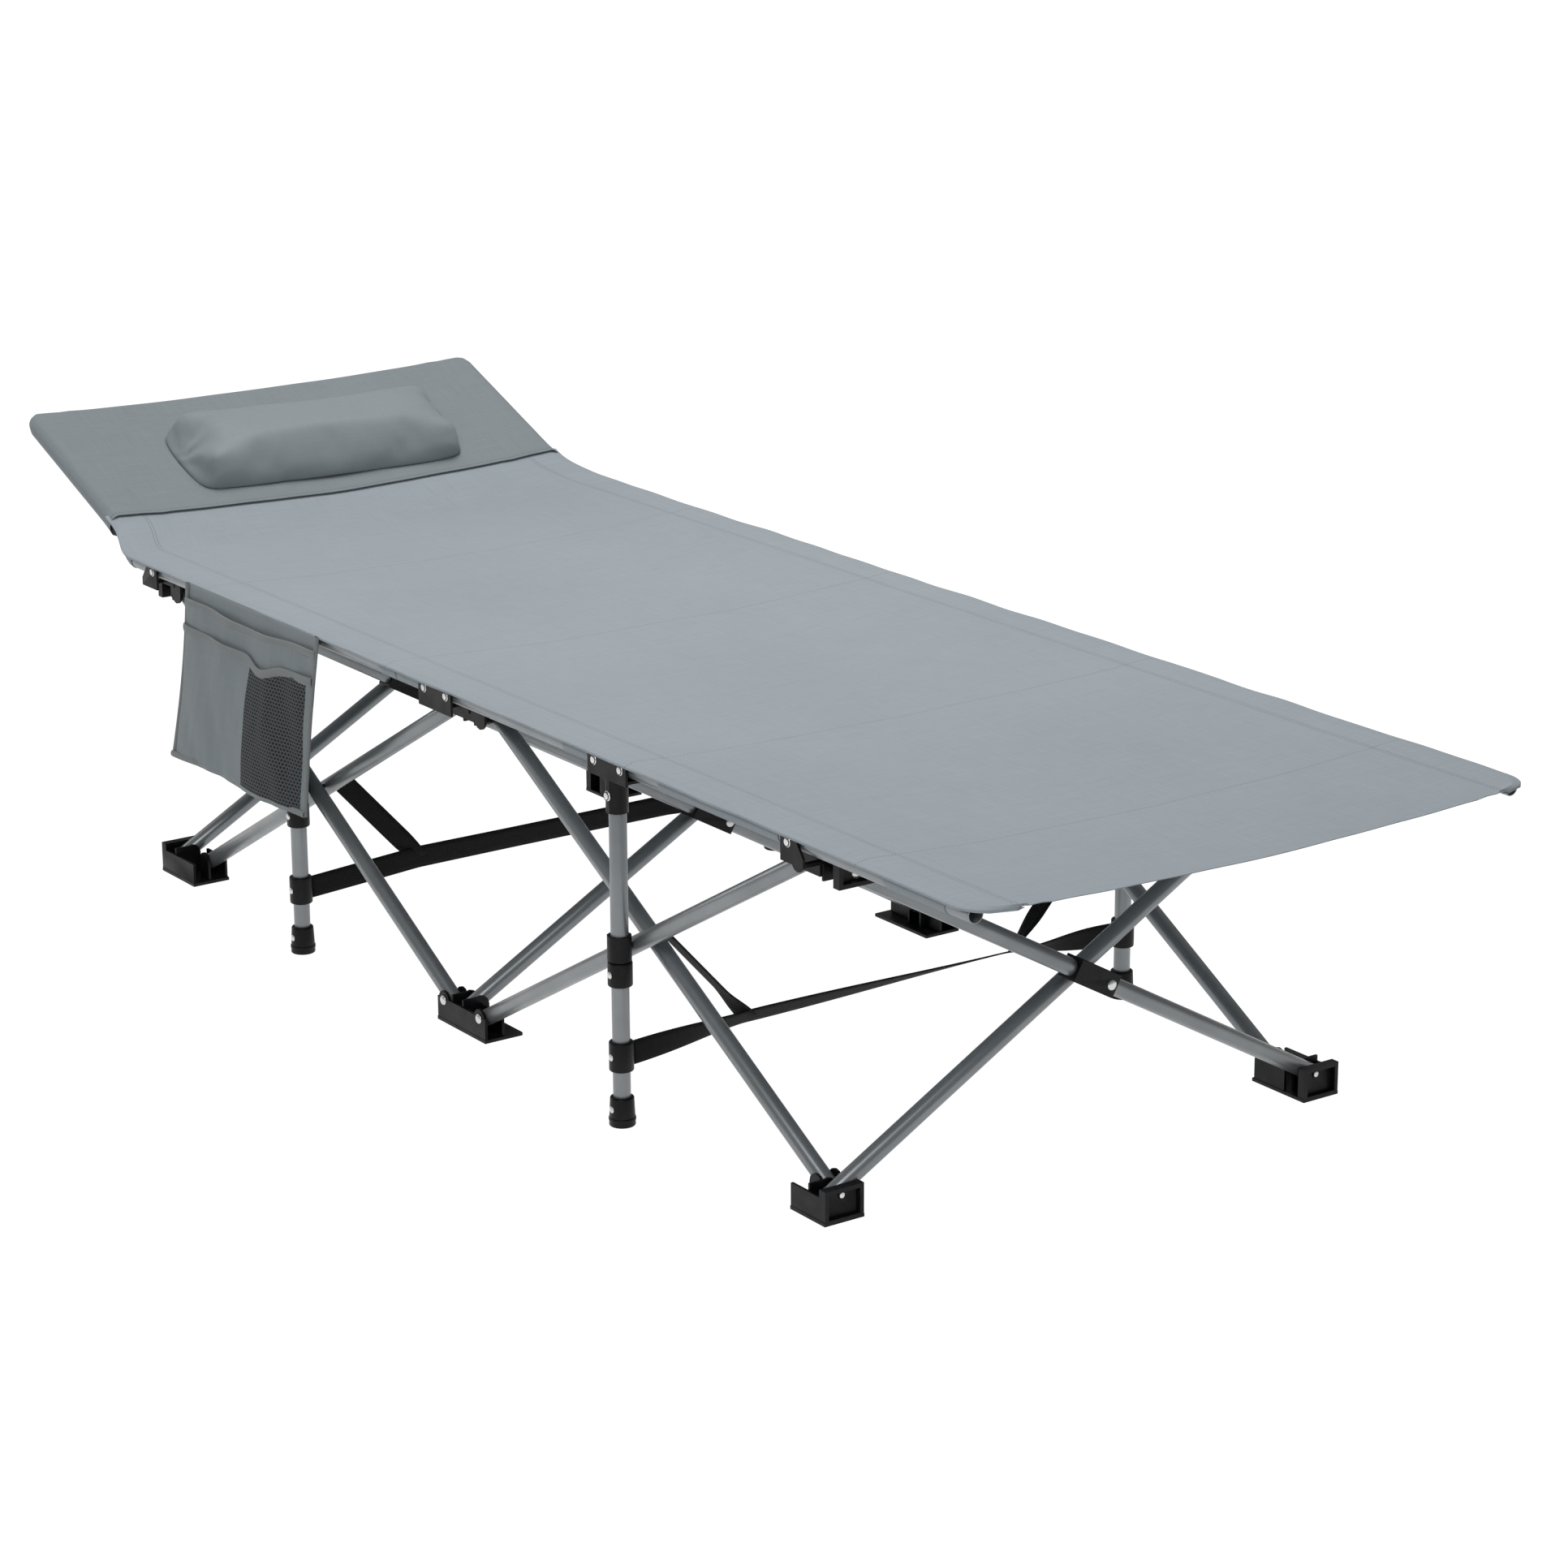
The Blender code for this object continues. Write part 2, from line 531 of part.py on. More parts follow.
def make_bracket(station):
    """A bracket under the far rail, with the long and the cross tubes hung from its roof."""
    middle = station * PITCH
    cross_x = middle - CROSS_OFFSET
    slot_low = cross_x - SLOT
    slot_high = cross_x + SLOT
    roof_z = TOP_PIVOT_Z + TOP_ROOM
    lug_base = roof_z + SINK
    sides = (-1, 1) if station == 0 else (-station,)
    reach = {side: middle + side * (LONG_OFFSET + END_MARGIN) for side in sides}
    if station:
        face_from = slot_high if station > 0 else slot_low
        reach[station] = face_from + station * END_BLOCK
    x_low = reach[-1]
    x_high = reach[1]
    outer_from = PLATE_IN if station else CROSS_Y + TIP_SWEEP + PLAY
    roof_out = FORK_IN - FORK_WALL + SINK
    shapes = [box((x_low, x_high), (INBOARD_Y, roof_out), (roof_z, roof_z + TOP_PLATE))]
    cutters = []
    plane = OUTER_Y if station else INNER_Y
    for x_in, x_out in ((slot_low, slot_low - CHEEK), (slot_high, slot_high + CHEEK)):
        shapes.append(lug(X, (CROSS_Y, TOP_PIVOT_Z), lug_base, *sorted((x_in, x_out))))
        shapes.append(box(sorted((x_in, x_out)), (CROSS_Y, outer_from + SINK),
                          (TOP_PIVOT_Z - LUG_R + 2 * SINK, lug_base)))
    shapes += pin(X, (CROSS_Y, TOP_PIVOT_Z), slot_low - CHEEK + SINK, slot_high + CHEEK - SINK)
    for side in sides:
        x = middle + side * LONG_OFFSET
        shapes += long_cheeks(x, TOP_PIVOT_Z, lug_base, plane, outer_from)
        near_slot = slot_high + CHEEK - SINK if side > 0 else slot_low - CHEEK + SINK
        near_lug = x - side * (LUG_R - SINK)
        shapes.append(box(sorted((near_slot, near_lug)), (outer_from, outer_from + CHEEK),
                          (TOP_PIVOT_Z - LUG_R / 2, lug_base)))
    if station == 0:
        shapes.append(box((slot_low - CHEEK + SINK, slot_high + CHEEK - SINK),
                          (outer_from, outer_from + CHEEK), (TOP_PIVOT_Z - LUG_R / 2, lug_base)))
        pivots = (middle - FORK_OFFSET, middle + FORK_OFFSET)
    else:
        pivots = (middle - station * FORK_OFFSET,)
    web_x = (middle - FORK_WEB_HALF, middle + FORK_WEB_HALF)
    fork_low = RAIL_Z - FORK_DROP
    shapes += fork_plates(pivots, web_x, fork_low)
    shapes.append(box(web_x, (FORK_IN - SINK, FORK_OUT + SINK), (fork_low, fork_low + FORK_WEB)))
    for x in pivots:
        head_y = FORK_OUT + FORK_WALL
        shapes.append(pin(Y, (x, RAIL_Z), FORK_OUT + SINK, head_y - SINK, head_y)[1])
    if station:
        block, hollow = recessed_end(reach[station], face_from, INBOARD_Y + SINK, PLATE_OUT - SINK,
                                     TOP_PIVOT_Z - LUG_R, lug_base)
        shapes.append(block)
        cutters.append(hollow)
        head = face_from + station * CHEEK
        rivet = pin(X, (CROSS_Y, TOP_PIVOT_Z), min(face_from, head), max(face_from, head), head)[1]
        mesh = fuse([fuse(shapes, cutters), rivet])
        origin = (middle - station * LONG_OFFSET, OUTER_Y, TOP_PIVOT_Z)
    else:
        mesh = fuse(shapes)
        origin = (cross_x, CROSS_Y, TOP_PIVOT_Z)
    place_pair("bracket", station, centred(mesh, origin), origin, black)


# Posts

def ring_on_post(x, z_low, z_high, radius, sides=TUBE_SIDES):
    return rod((x, RAIL_Y, z_low), (x, RAIL_Y, z_high), radius, sides)


def make_post(end):
    """A post with its cap, the collar that the straps hold and the stop, all fixed to it."""
    x = end * POST_X
    stop_high = CROSSING_Z - COLLAR_HEIGHT / 2 - STOP_GAP
    stop_low = stop_high - STOP_HEIGHT
    strap_low = STRAP_COLLAR_Z - STRAP_COLLAR_HEIGHT / 2
    strap_high = STRAP_COLLAR_Z + STRAP_COLLAR_HEIGHT / 2
    shapes = [ring_on_post(x, 0.0, CAP_HEIGHT, CAP_R)]
    shapes.append(ring_on_post(x, CAP_FLOOR, POST_TOP_Z, TUBE_R))
    shapes.append(ring_on_post(x, strap_low, strap_high, COLLAR_R))
    shapes.append(ring_on_post(x, stop_low, stop_high, COLLAR_R))
    rivets = (CAP_HEIGHT * 0.6, STRAP_COLLAR_Z, (stop_low + stop_high) / 2)
    for z in rivets:
        shapes.append(rod((x, RAIL_Y + TUBE_R, z), (x, RAIL_Y + CAP_R + RIVET_HEAD / 2, z), PIN_R, 10))
    bore = ring_on_post(x, CAP_FLOOR, POST_TOP_Z + TUBE_R, TUBE_R - TUBE_WALL)
    origin = (x, RAIL_Y, CROSSING_Z)
    place_pair("post", end, centred(fuse(shapes, [bore]), origin), origin, silver)


def make_sliding_collar(end):
    """The collar that slides on a post, with the pin of the long tubes' crossing."""
    x = end * POST_X
    half = COLLAR_HEIGHT / 2
    inner_face = INNER_Y - TUBE_R - PLAY
    ring = ring_on_post(x, CROSSING_Z - half, CROSSING_Z + half, COLLAR_R)
    long_pin = rod((x, RAIL_Y - TUBE_R - CHEEK / 2, CROSSING_Z),
                   (x, inner_face - RIVET_HEAD, CROSSING_Z), PIN_R)
    head = rod((x, inner_face, CROSSING_Z), (x, inner_face - RIVET_HEAD, CROSSING_Z), RIVET_R, 10)
    bore = ring_on_post(x, CROSSING_Z - COLLAR_HEIGHT, CROSSING_Z + COLLAR_HEIGHT, TUBE_R + TOUCH)
    origin = (x, OUTER_Y, CROSSING_Z)
    mesh = centred(fuse([ring, long_pin, head], [bore]), origin)
    place_pair("sliding_collar", end, mesh, origin, black)


def make_post_bracket(end):
    """The rails' hinge on top of a post: a sleeve and a fork that is open upwards."""
    x = end * POST_X
    pivots = (x - POST_FORK_OFFSET, x + POST_FORK_OFFSET)
    rail_sweep = hypot(TIP, RAIL_R)
    web_top = RAIL_Z - rail_sweep - PLAY
    half_block = POST_FORK_OFFSET - rail_sweep - PLAY
    web_low = web_top - TOP_PLATE
    sleeve_r = FORK_OUT + FORK_WALL - RAIL_Y
    sleeve_low = POST_TOP_Z - 3 * TUBE_R
    bore_high = POST_TOP_Z + TOUCH
    web_x = (pivots[0] - TIP, pivots[1] + TIP)
    shapes = fork_plates(pivots, web_x, web_low) + rail_rivets(pivots)
    shapes.append(box(web_x, (FORK_IN - SINK, FORK_OUT + SINK), (web_low + SINK, web_top)))
    shapes.append(ring_on_post(x, sleeve_low, web_top - SINK, sleeve_r - SINK))
    shapes.append(box((x - half_block, x + half_block), (FORK_IN - SINK, FORK_OUT + SINK),
                      (web_low + SINK, RAIL_Z)))
    shapes.append(rod((x, RAIL_Y + TUBE_R + CHEEK / 2, POST_TOP_Z - TUBE_R),
                      (x, RAIL_Y + sleeve_r + RIVET_HEAD, POST_TOP_Z - TUBE_R), RIVET_R, 10))
    bore = ring_on_post(x, sleeve_low - TUBE_R, bore_high, TUBE_R + TOUCH)
    origin = (x, RAIL_Y, RAIL_Z)
    place_pair("post_bracket", end, centred(fuse(shapes, [bore]), origin), origin, black)


# Rails and sheet

def ramp(distance, start):
    """Rises from 0 to 1 over one bend's length and stays there."""
    return min(max((distance - start) / BEND_LENGTH, 0.0), 1.0)


def head_rail_lift(x):
    """How far the rail has risen at x, past the head bracket."""
    past = -PITCH - x
    steps = 40
    lift = 0.0
    for step in range(steps):
        at = past * (step + 0.5) / steps
        slope = tan(HEAD_SLOPE) * ramp(at, HEAD_BEND_START)
        slope += (tan(HEADREST_SLOPE) - tan(HEAD_SLOPE)) * ramp(at, HEAD_CREASE - BEND_LENGTH / 2)
        lift += slope * past / steps
    return lift if past > 0 else 0.0


def head_toe_in(x):
    """How far the rail has come inboard at x, past the head bracket."""
    past = -PITCH - x
    share = min(max((past - HEAD_BEND_START) / (HEAD_CREASE - HEAD_BEND_START), 0.0), 1.0)
    return HEAD_TOE_IN * share * share * (3 - 2 * share)


def rail_point(x, side):
    return (x, side * (RAIL_Y - head_toe_in(x)), RAIL_Z + head_rail_lift(x))


def spaced(start, end, step):
    """Values from start to end, evenly spaced by about the given step."""
    count = max(1, round(abs(end - start) / step))
    return [start + (end - start) * index / count for index in range(count + 1)]


def lap_cutter(end_x, inward, side, keep_out):
    """Cuts one half, outboard or inboard, off the end of a rail, so that two rails can cross."""
    x_range = sorted((end_x - inward * RAIL_R, end_x + inward * LAP_LENGTH))
    edge = LAP_GAP / 2
    y_range = (-2 * RAIL_R, edge) if keep_out else (-edge, 2 * RAIL_R)
    low, high = sorted((side * (RAIL_Y + y_range[0]), side * (RAIL_Y + y_range[1])))
    return box(x_range, (low, high), (RAIL_Z - 2 * RAIL_R, RAIL_Z + 2 * RAIL_R))


def make_rails():
    """Four rails a side, hinged on the posts.

    Each carries the pin that lies between the plates of its bracket.
    """
    bend_x = -PITCH - HEAD_BEND_START
    spans = {
        "head": ([-POST_X - POST_FORK_OFFSET + TIP] + spaced(bend_x, HEAD_X, RAIL_STEP),
                 (-POST_X - POST_FORK_OFFSET, -PITCH + FORK_OFFSET)),
        "mid_head": ((-POST_X + POST_FORK_OFFSET - TIP, -FORK_OFFSET + TIP),
                     (-POST_X + POST_FORK_OFFSET, -FORK_OFFSET)),
        "mid_foot": ((FORK_OFFSET - TIP, POST_X - POST_FORK_OFFSET + TIP),
                     (POST_X - POST_FORK_OFFSET, FORK_OFFSET)),
        "foot": ((POST_X + POST_FORK_OFFSET - TIP, FOOT_X),
                 (POST_X + POST_FORK_OFFSET, PITCH - FORK_OFFSET)),
    }
    for side, side_name in ((-1, "near"), (1, "far")):
        for name, (stops, pivots) in spans.items():
            path = [rail_point(x, side) for x in stops]
            body = pipe(path, RAIL_R, RAIL_R - RAIL_WALL, (0, 1, 0))
            turn_x, bracket_x = pivots
            reach = 2 * RAIL_R
            cutters = [rod((turn_x, side * RAIL_Y - reach, RAIL_Z),
                           (turn_x, side * RAIL_Y + reach, RAIL_Z), HOLE_R)]
            pin_in = FORK_IN + TOUCH
            pin_out = FORK_OUT - TOUCH
            if name.startswith("mid"):
                inward = -1.0 if name == "mid_head" else 1.0
                keep_out = name == "mid_head"
                cutters.append(lap_cutter(bracket_x - inward * TIP, inward, side, keep_out))
                pin_in, pin_out = (RAIL_Y + LAP_GAP, pin_out) if keep_out else (pin_in, RAIL_Y - LAP_GAP)
            bracket_pin = rod((bracket_x, side * pin_in, RAIL_Z), (bracket_x, side * pin_out, RAIL_Z), PIN_R)
            origin = (turn_x, side * RAIL_Y, RAIL_Z)
            mesh = centred(fuse([fuse([body], cutters), bracket_pin]), origin)
            place(f"rail_{side_name}_{name}", mesh, origin, silver)


def corner_inset(x):
    """How far the sheet's edge has come in at x, round its outer corners."""
    inward = min(x - SHEET_HEAD_X, SHEET_FOOT_X - x)
    if inward >= SHEET_CORNER:
        return 0.0
    left = SHEET_CORNER - max(inward, 0.0)
    return SHEET_CORNER - sqrt(SHEET_CORNER ** 2 - left ** 2)


def sheet_under(x, share):
    """A point on the sheet's underside, at a share from -1 to 1 of its half width."""
    rail_out = RAIL_Y - head_toe_in(x) + RAIL_R
    half = rail_out - corner_inset(x)
    y = share * half
    sunk = max(0.0, 1.0 - (y / (rail_out - SHEET_FLAT)) ** 2)
    z = RAIL_Z + head_rail_lift(x) + (RAIL_R + TOUCH) / cos(HEADREST_SLOPE if x < -PITCH else 0.0)
    return Vector((x, y, z - SHEET_SAG * sunk))


def make_sheet_panel(name, stops, origin):
    """A thin sagging panel of the sheet over the rails."""
    form = bmesh.new()
    shares = [sin(radians(90) * step / (SHEET_COLUMNS // 2)) for step in range(SHEET_COLUMNS // 2 + 1)]
    shares = [-share for share in reversed(shares[1:])] + shares
    layers = []
    for rise in (0.0, SHEET):
        rows = []
        for x in stops:
            lift = Vector((0.0, 0.0, rise))
            rows.append([form.verts.new(sheet_under(x, share) + lift) for share in shares])
        layers.append(rows)
    for rows in layers:
        for row, following in zip(rows, rows[1:]):
            for index in range(len(shares) - 1):
                form.faces.new((row[index], row[index + 1], following[index + 1], following[index]))
    under, over = layers
    outline = [*under[0], *[row[-1] for row in under[1:-1]], *reversed(under[-1])]
    outline += [row[0] for row in reversed(under[1:-1])]
    upper = [*over[0], *[row[-1] for row in over[1:-1]], *reversed(over[-1])]
    upper += [row[0] for row in reversed(over[1:-1])]
    for index, corner in enumerate(outline):
        following = (index + 1) % len(outline)
        form.faces.new((corner, outline[following], upper[following], upper[index]))
    mesh = as_mesh(form)
    place(f"sheet_{name}", centred(mesh, origin, 60), origin, grey_cloth)


def corner_stops(end_x, inward):
    """Places along the bed that round the sheet's outer corners."""
    return [end_x + inward * SHEET_CORNER * (1 - cos(radians(angle))) for angle in (6, 30, 60, 90)]


def make_sheet():
    """Four panels that meet over the posts and over the middle bracket."""
    gap = TOUCH
    crease_x = -PITCH - HEAD_CREASE
    head_stops = corner_stops(SHEET_HEAD_X, 1.0)
    head_stops += spaced(SHEET_HEAD_X + 2 * SHEET_CORNER, crease_x - BEND_LENGTH / 2, 0.06)
    head_stops += spaced(crease_x, -PITCH - HEAD_BEND_START, RAIL_STEP)
    head_stops += spaced(-PITCH, -POST_X - gap, POST_X / 3)
    foot_stops = spaced(POST_X + gap, SHEET_FOOT_X - 2 * SHEET_CORNER, 0.16)
    foot_stops += corner_stops(SHEET_FOOT_X, -1.0)[::-1]
    panels = {
        "head": (head_stops, -POST_X),
        "mid_head": (spaced(-POST_X + gap, -gap, POST_X / 3), -POST_X),
        "mid_foot": (spaced(gap, POST_X - gap, POST_X / 3), POST_X),
        "foot": (foot_stops, POST_X),
    }
    for name, (stops, origin_x) in panels.items():
        make_sheet_panel(name, stops, (origin_x, 0.0, RAIL_Z))


# Soft pieces on the frame

def make_pillow():
    """A bolster with a crown and drawn-in ends, bowed with the sheet that it lies on."""
    form = bmesh.new()
    sheet_half = RAIL_Y - HEAD_TOE_IN + RAIL_R - SHEET_FLAT
    rings = []
    for index in range(PILLOW_RINGS):
        share = sin(radians(-90 + 180 * index / (PILLOW_RINGS - 1)))
        drawn = (1.0 - abs(share) ** 6) ** 0.5 if abs(share) < 1.0 else 0.0
        fullness = 0.30 + 0.70 * drawn
        pinch = 1.0 - 0.05 * drawn * cos(3 * pi * share)
        ring = []
        for step in range(PILLOW_SIDES):
            angle = 2 * pi * step / PILLOW_SIDES
            wide = abs(cos(angle)) ** 0.8 * (1 if cos(angle) > 0 else -1)
            high = abs(sin(angle)) ** 0.9 * (1 if sin(angle) > 0 else -1)
            x = wide * PILLOW_WIDTH / 2 * (0.86 + 0.14 * fullness) * pinch
            z = high * PILLOW_HEIGHT / 2 * fullness * pinch
            z = max(z, -PILLOW_HEIGHT / 2 + PILLOW_FLAT)
            end_bow = 0.010 * (1 - abs(wide)) * abs(share) ** 3
            y = share * PILLOW_LENGTH / 2 - end_bow * (1 if share > 0 else -1)
            sheet_rise = SHEET_SAG * ((y + PILLOW_Y) ** 2 - PILLOW_Y ** 2) / sheet_half ** 2
            ring.append(form.verts.new((x, y, z + sheet_rise * cos(HEADREST_SLOPE))))
        rings.append(ring)
    for ring, following in zip(rings, rings[1:]):
        for step in range(PILLOW_SIDES):
            after = (step + 1) % PILLOW_SIDES
            form.faces.new((ring[step], ring[after], following[after], following[step]))
    form.faces.new(rings[0])
    form.faces.new(rings[-1])
    mesh = as_mesh(form)
    centre_x = -PITCH - HEAD_CREASE - PILLOW_PAST_CREASE - PILLOW_WIDTH / 2
    rest_z = sheet_under(centre_x, PILLOW_Y / RAIL_Y).z + SHEET / cos(HEADREST_SLOPE)
    lift = (PILLOW_HEIGHT / 2 - PILLOW_FLAT) / cos(HEADREST_SLOPE) + PILLOW_SEAT
    pillow = place("pillow", centred(mesh, (0, 0, 0), 60), (centre_x, PILLOW_Y, rest_z + lift), pillow_cloth)
    pillow.rotation_euler.y = HEADREST_SLOPE


def bag_profile(inset, z_low, z_high):
    """The bag's upright section, drawn in from its walls by the given inset."""
    def out_at(z):
        return BAG_FLARE * (BAG_TOP_Z - z) / (BAG_TOP_Z - BAG_BOTTOM_Z)
    back = -BAG_BACK_Y - inset
    front = -BAG_BACK_Y - BAG_DEPTH + inset
    return [(back - out_at(z_low), z_low), (front - out_at(z_low), z_low),
            (front - out_at(z_high), z_high), (back - out_at(z_high), z_high)]


def make_bag():
    """The flat bag that hangs from the near rail at the head: a pocket open at its top."""
    x_low = -POST_X - BAG_FROM_POST
    x_high = x_low + BAG_LENGTH
    body = prism(bag_profile(0.0, BAG_BOTTOM_Z, BAG_TOP_Z), X, x_low, x_high)
    room = prism(bag_profile(BAG_WALL, BAG_BOTTOM_Z + BAG_WALL, BAG_TOP_Z + BAG_WALL), X,
                 x_low + BAG_WALL, x_high - BAG_WALL)
    origin = (-POST_X, -RAIL_Y, RAIL_Z)
    place("side_bag", centred(fuse([body], [room]), origin), origin, pillow_cloth)


def band(start, end, width, x):
    """A flat band between two places in the cross section at x."""
    start = Vector(start)
    end = Vector(end)
    along = (end - start).normalized()
    across = Vector((-along.y, along.x)) * width / 2
    outline = [start - across, end - across, end + across, start + across]
    return prism([tuple(point) for point in outline], X, x - STRAP / 2, x + STRAP / 2)


def make_strap(end):
    """Webbing from post to post, with a branch on each side up to the crossing pin."""
    x = end * POST_X
    collar_y = RAIL_Y - COLLAR_R - TOUCH
    pin_y = INNER_Y - TUBE_R - PLAY - RIVET_HEAD - TOUCH
    shapes = [band((-STRAP_JOIN_Y, STRAP_JOIN_Z), (STRAP_JOIN_Y, STRAP_JOIN_Z), STRAP_WIDTH, x)]
    overlap = STRAP_WIDTH / 4
    for side in (-1, 1):
        join = Vector((side * (STRAP_JOIN_Y - overlap), STRAP_JOIN_Z))
        shapes.append(band(join, (side * collar_y, STRAP_COLLAR_Z), STRAP_WIDTH - SINK, x))
        top = Vector((side * (pin_y - BRANCH_WIDTH / 2), CROSSING_Z))
        shapes.append(band(join, top, BRANCH_WIDTH, x))
        shapes.append(prism(arc(top, BRANCH_WIDTH / 2, 0, 330, 11), X, x - STRAP / 2, x + STRAP / 2))
    limit = collar_y
    trims = [box((x - STRAP, x + STRAP), sorted((side * limit, side * 2 * limit)), (0.0, TOP_PIVOT_Z))
             for side in (-1, 1)]
    origin = (x, 0.0, STRAP_JOIN_Z)
    place(f"strap_{FAR_ENDS[end]}", centred(fuse(shapes, trims), origin), origin, webbing)


clear_scene()
bed = bpy.data.objects.new("bed", None)
bpy.context.collection.objects.link(bed)
bed.location = (CENTRE_X, CENTRE_Y, 0.0)
silver = make_paint("silver_tube", (0.42, 0.44, 0.46), 0.32, 0.85)
black = make_paint("black_moulding", (0.022, 0.022, 0.025), 0.42)
grey_cloth = make_paint("sheet_cloth", (0.33, 0.38, 0.41), 0.85)
pillow_cloth = make_paint("trim_cloth", (0.27, 0.31, 0.33), 0.85)
webbing = make_paint("webbing", (0.012, 0.012, 0.013), 0.80)

make_long_tubes()
make_cross_tubes()
for place_along in FAR_ENDS:
    make_shoe(place_along)
    make_bracket(place_along)
for post_end in (-1, 1):
    make_post(post_end)
    make_sliding_collar(post_end)
    make_post_bracket(post_end)
    make_strap(post_end)
make_rails()
make_sheet()
make_pillow()
make_bag()
bpy.context.view_layer.update()
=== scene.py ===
# %% [markdown]
# # A folding camp bed
# The bed is a sheet of cloth over two hinged rails, carried by scissor legs of round tube.
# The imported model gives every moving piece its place, so it is loaded first and stays as it is.
# Each cell below dresses one kind of piece: tubes, mouldings, rivets, sheet, pillow, bag and straps.

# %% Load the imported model
import json
from functools import reduce
from math import atan2, ceil, copysign, cos, exp, hypot, pi, radians, sin, sqrt, tan

import bmesh
import bpy
from mathutils import Matrix, Vector, noise


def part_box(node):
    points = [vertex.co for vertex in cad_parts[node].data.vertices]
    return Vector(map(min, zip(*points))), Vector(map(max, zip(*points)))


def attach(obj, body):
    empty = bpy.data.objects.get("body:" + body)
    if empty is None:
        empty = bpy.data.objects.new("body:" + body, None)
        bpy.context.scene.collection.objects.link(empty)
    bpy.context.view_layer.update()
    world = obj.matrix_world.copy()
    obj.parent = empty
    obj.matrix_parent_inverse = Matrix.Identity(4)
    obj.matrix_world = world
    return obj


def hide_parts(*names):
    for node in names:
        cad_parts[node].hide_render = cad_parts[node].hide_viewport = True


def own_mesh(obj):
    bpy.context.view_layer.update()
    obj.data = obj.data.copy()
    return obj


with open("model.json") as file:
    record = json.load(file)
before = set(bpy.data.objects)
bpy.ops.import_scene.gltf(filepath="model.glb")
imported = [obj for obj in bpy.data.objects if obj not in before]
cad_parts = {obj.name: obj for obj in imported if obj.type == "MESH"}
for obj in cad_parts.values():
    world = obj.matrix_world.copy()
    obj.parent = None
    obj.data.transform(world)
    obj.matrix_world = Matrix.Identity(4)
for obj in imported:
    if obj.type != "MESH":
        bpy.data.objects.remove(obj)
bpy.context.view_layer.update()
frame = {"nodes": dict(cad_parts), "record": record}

behaviour = frame["record"]["behaviour"]
body_of_node = {node: body for body, nodes in behaviour["bodies"].items() for node in nodes}
pins = {joint["name"]: Vector(joint["pos_m"]) for joint in behaviour["joints"] if "pos_m" in joint}

# %% [markdown]
# The bed's own centre is the crossing pin of its middle legs. Every shape below is drawn round
# that centre, with the head at -X, and moved to its place in the mesh when it is finished.
# The main sizes come from the pins, so the dressing follows the model if it is scaled.

# %% Sizes read from the joints
CENTRE = Vector((pins["middle_cross_pin"].x, pins["middle_cross_pin"].y, 0.0))
foot_pin = pins["near_head_outer_tube_foot_pin"]
top_pin = pins["near_head_bracket_pin"]
RUN = foot_pin.x - top_pin.x
RISE = top_pin.z - foot_pin.z
LONG_OFFSET = CENTRE.x - foot_pin.x
PITCH = RUN + 2 * LONG_OFFSET
POST_X = PITCH / 2
FOOT_PIVOT_Z = foot_pin.z
TOP_PIVOT_Z = top_pin.z
CROSSING_Z = (FOOT_PIVOT_Z + TOP_PIVOT_Z) / 2
CROSS_Y = CENTRE.y - pins["fold"].y
CROSS_OFFSET = CENTRE.x - pins["fold"].x
OUTER_Y = CENTRE.y - foot_pin.y
rail_low, rail_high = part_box("rail_far_mid_foot")
RAIL_Y = (rail_low.y + rail_high.y) / 2 - CENTRE.y
RAIL_Z = (rail_low.z + rail_high.z) / 2
STATIONS = {-1: "head", 0: "middle", 1: "foot"}
ENDS = {"head": -1, "foot": 1}
SIDES = {"near": -1, "far": 1}
TUBE_R = 0.0100
RAIL_R = 0.0095
WALL = 0.0012
TIP = 0.007  # tube past its pin, at either end
print("pitch", round(PITCH, 4), "rail", round(RAIL_Y, 4), round(RAIL_Z, 4))

# %% [markdown]
# A finish is a small node tree round a Principled shader. Short helpers keep those trees short:
# they add a node, do a sum, mix two colours, stretch a range or make noise. Each finds its tree
# from the value that it is given. Numbers that are the same all over a surface are set on the
# shader itself.

# %% Helpers for finishes
def set_all(thing, **settings):
    """Give a thing its settings and hand it back."""
    for setting, value in settings.items():
        setattr(thing, setting, value)
    return thing


def new_finish(name, colour, roughness, **sockets):
    """A material with the given plain values on its shader."""
    finish = bpy.data.materials.new(name)
    finish.use_nodes = True
    shader = finish.node_tree.nodes["Principled BSDF"]
    for socket, value in {"Base_Color": (*colour, 1.0), "Roughness": roughness, **sockets}.items():
        shader.inputs[socket.replace("_", " ")].default_value = value
    return finish, shader


def add(tree, kind, values=None, **settings):
    """A new node with its settings, and its inputs as numbers or wired to other nodes."""
    node = set_all(tree.nodes.new(kind), **settings)
    for socket, value in (values or {}).items():
        if isinstance(value, bpy.types.NodeSocket):
            tree.links.new(value, node.inputs[socket])
        else:
            node.inputs[socket].default_value = value
    return node


def wire(source, target):
    source.id_data.links.new(source, target)


def sums(operation, *values):
    """The result of one Math node, with a wired value among its values."""
    tree = next(value.id_data for value in values if isinstance(value, bpy.types.NodeSocket))
    return add(tree, "ShaderNodeMath", dict(enumerate(values)), operation=operation).outputs[0]


def mixed(share, first, second):
    """Two colours, each a tuple or a socket, mixed by a wired share."""
    pair = [value if isinstance(value, bpy.types.NodeSocket) else (*value, 1.0)
            for value in (first, second)]
    values = {0: share, 6: pair[0], 7: pair[1]}
    return add(share.id_data, "ShaderNodeMix", values, data_type="RGBA").outputs[2]


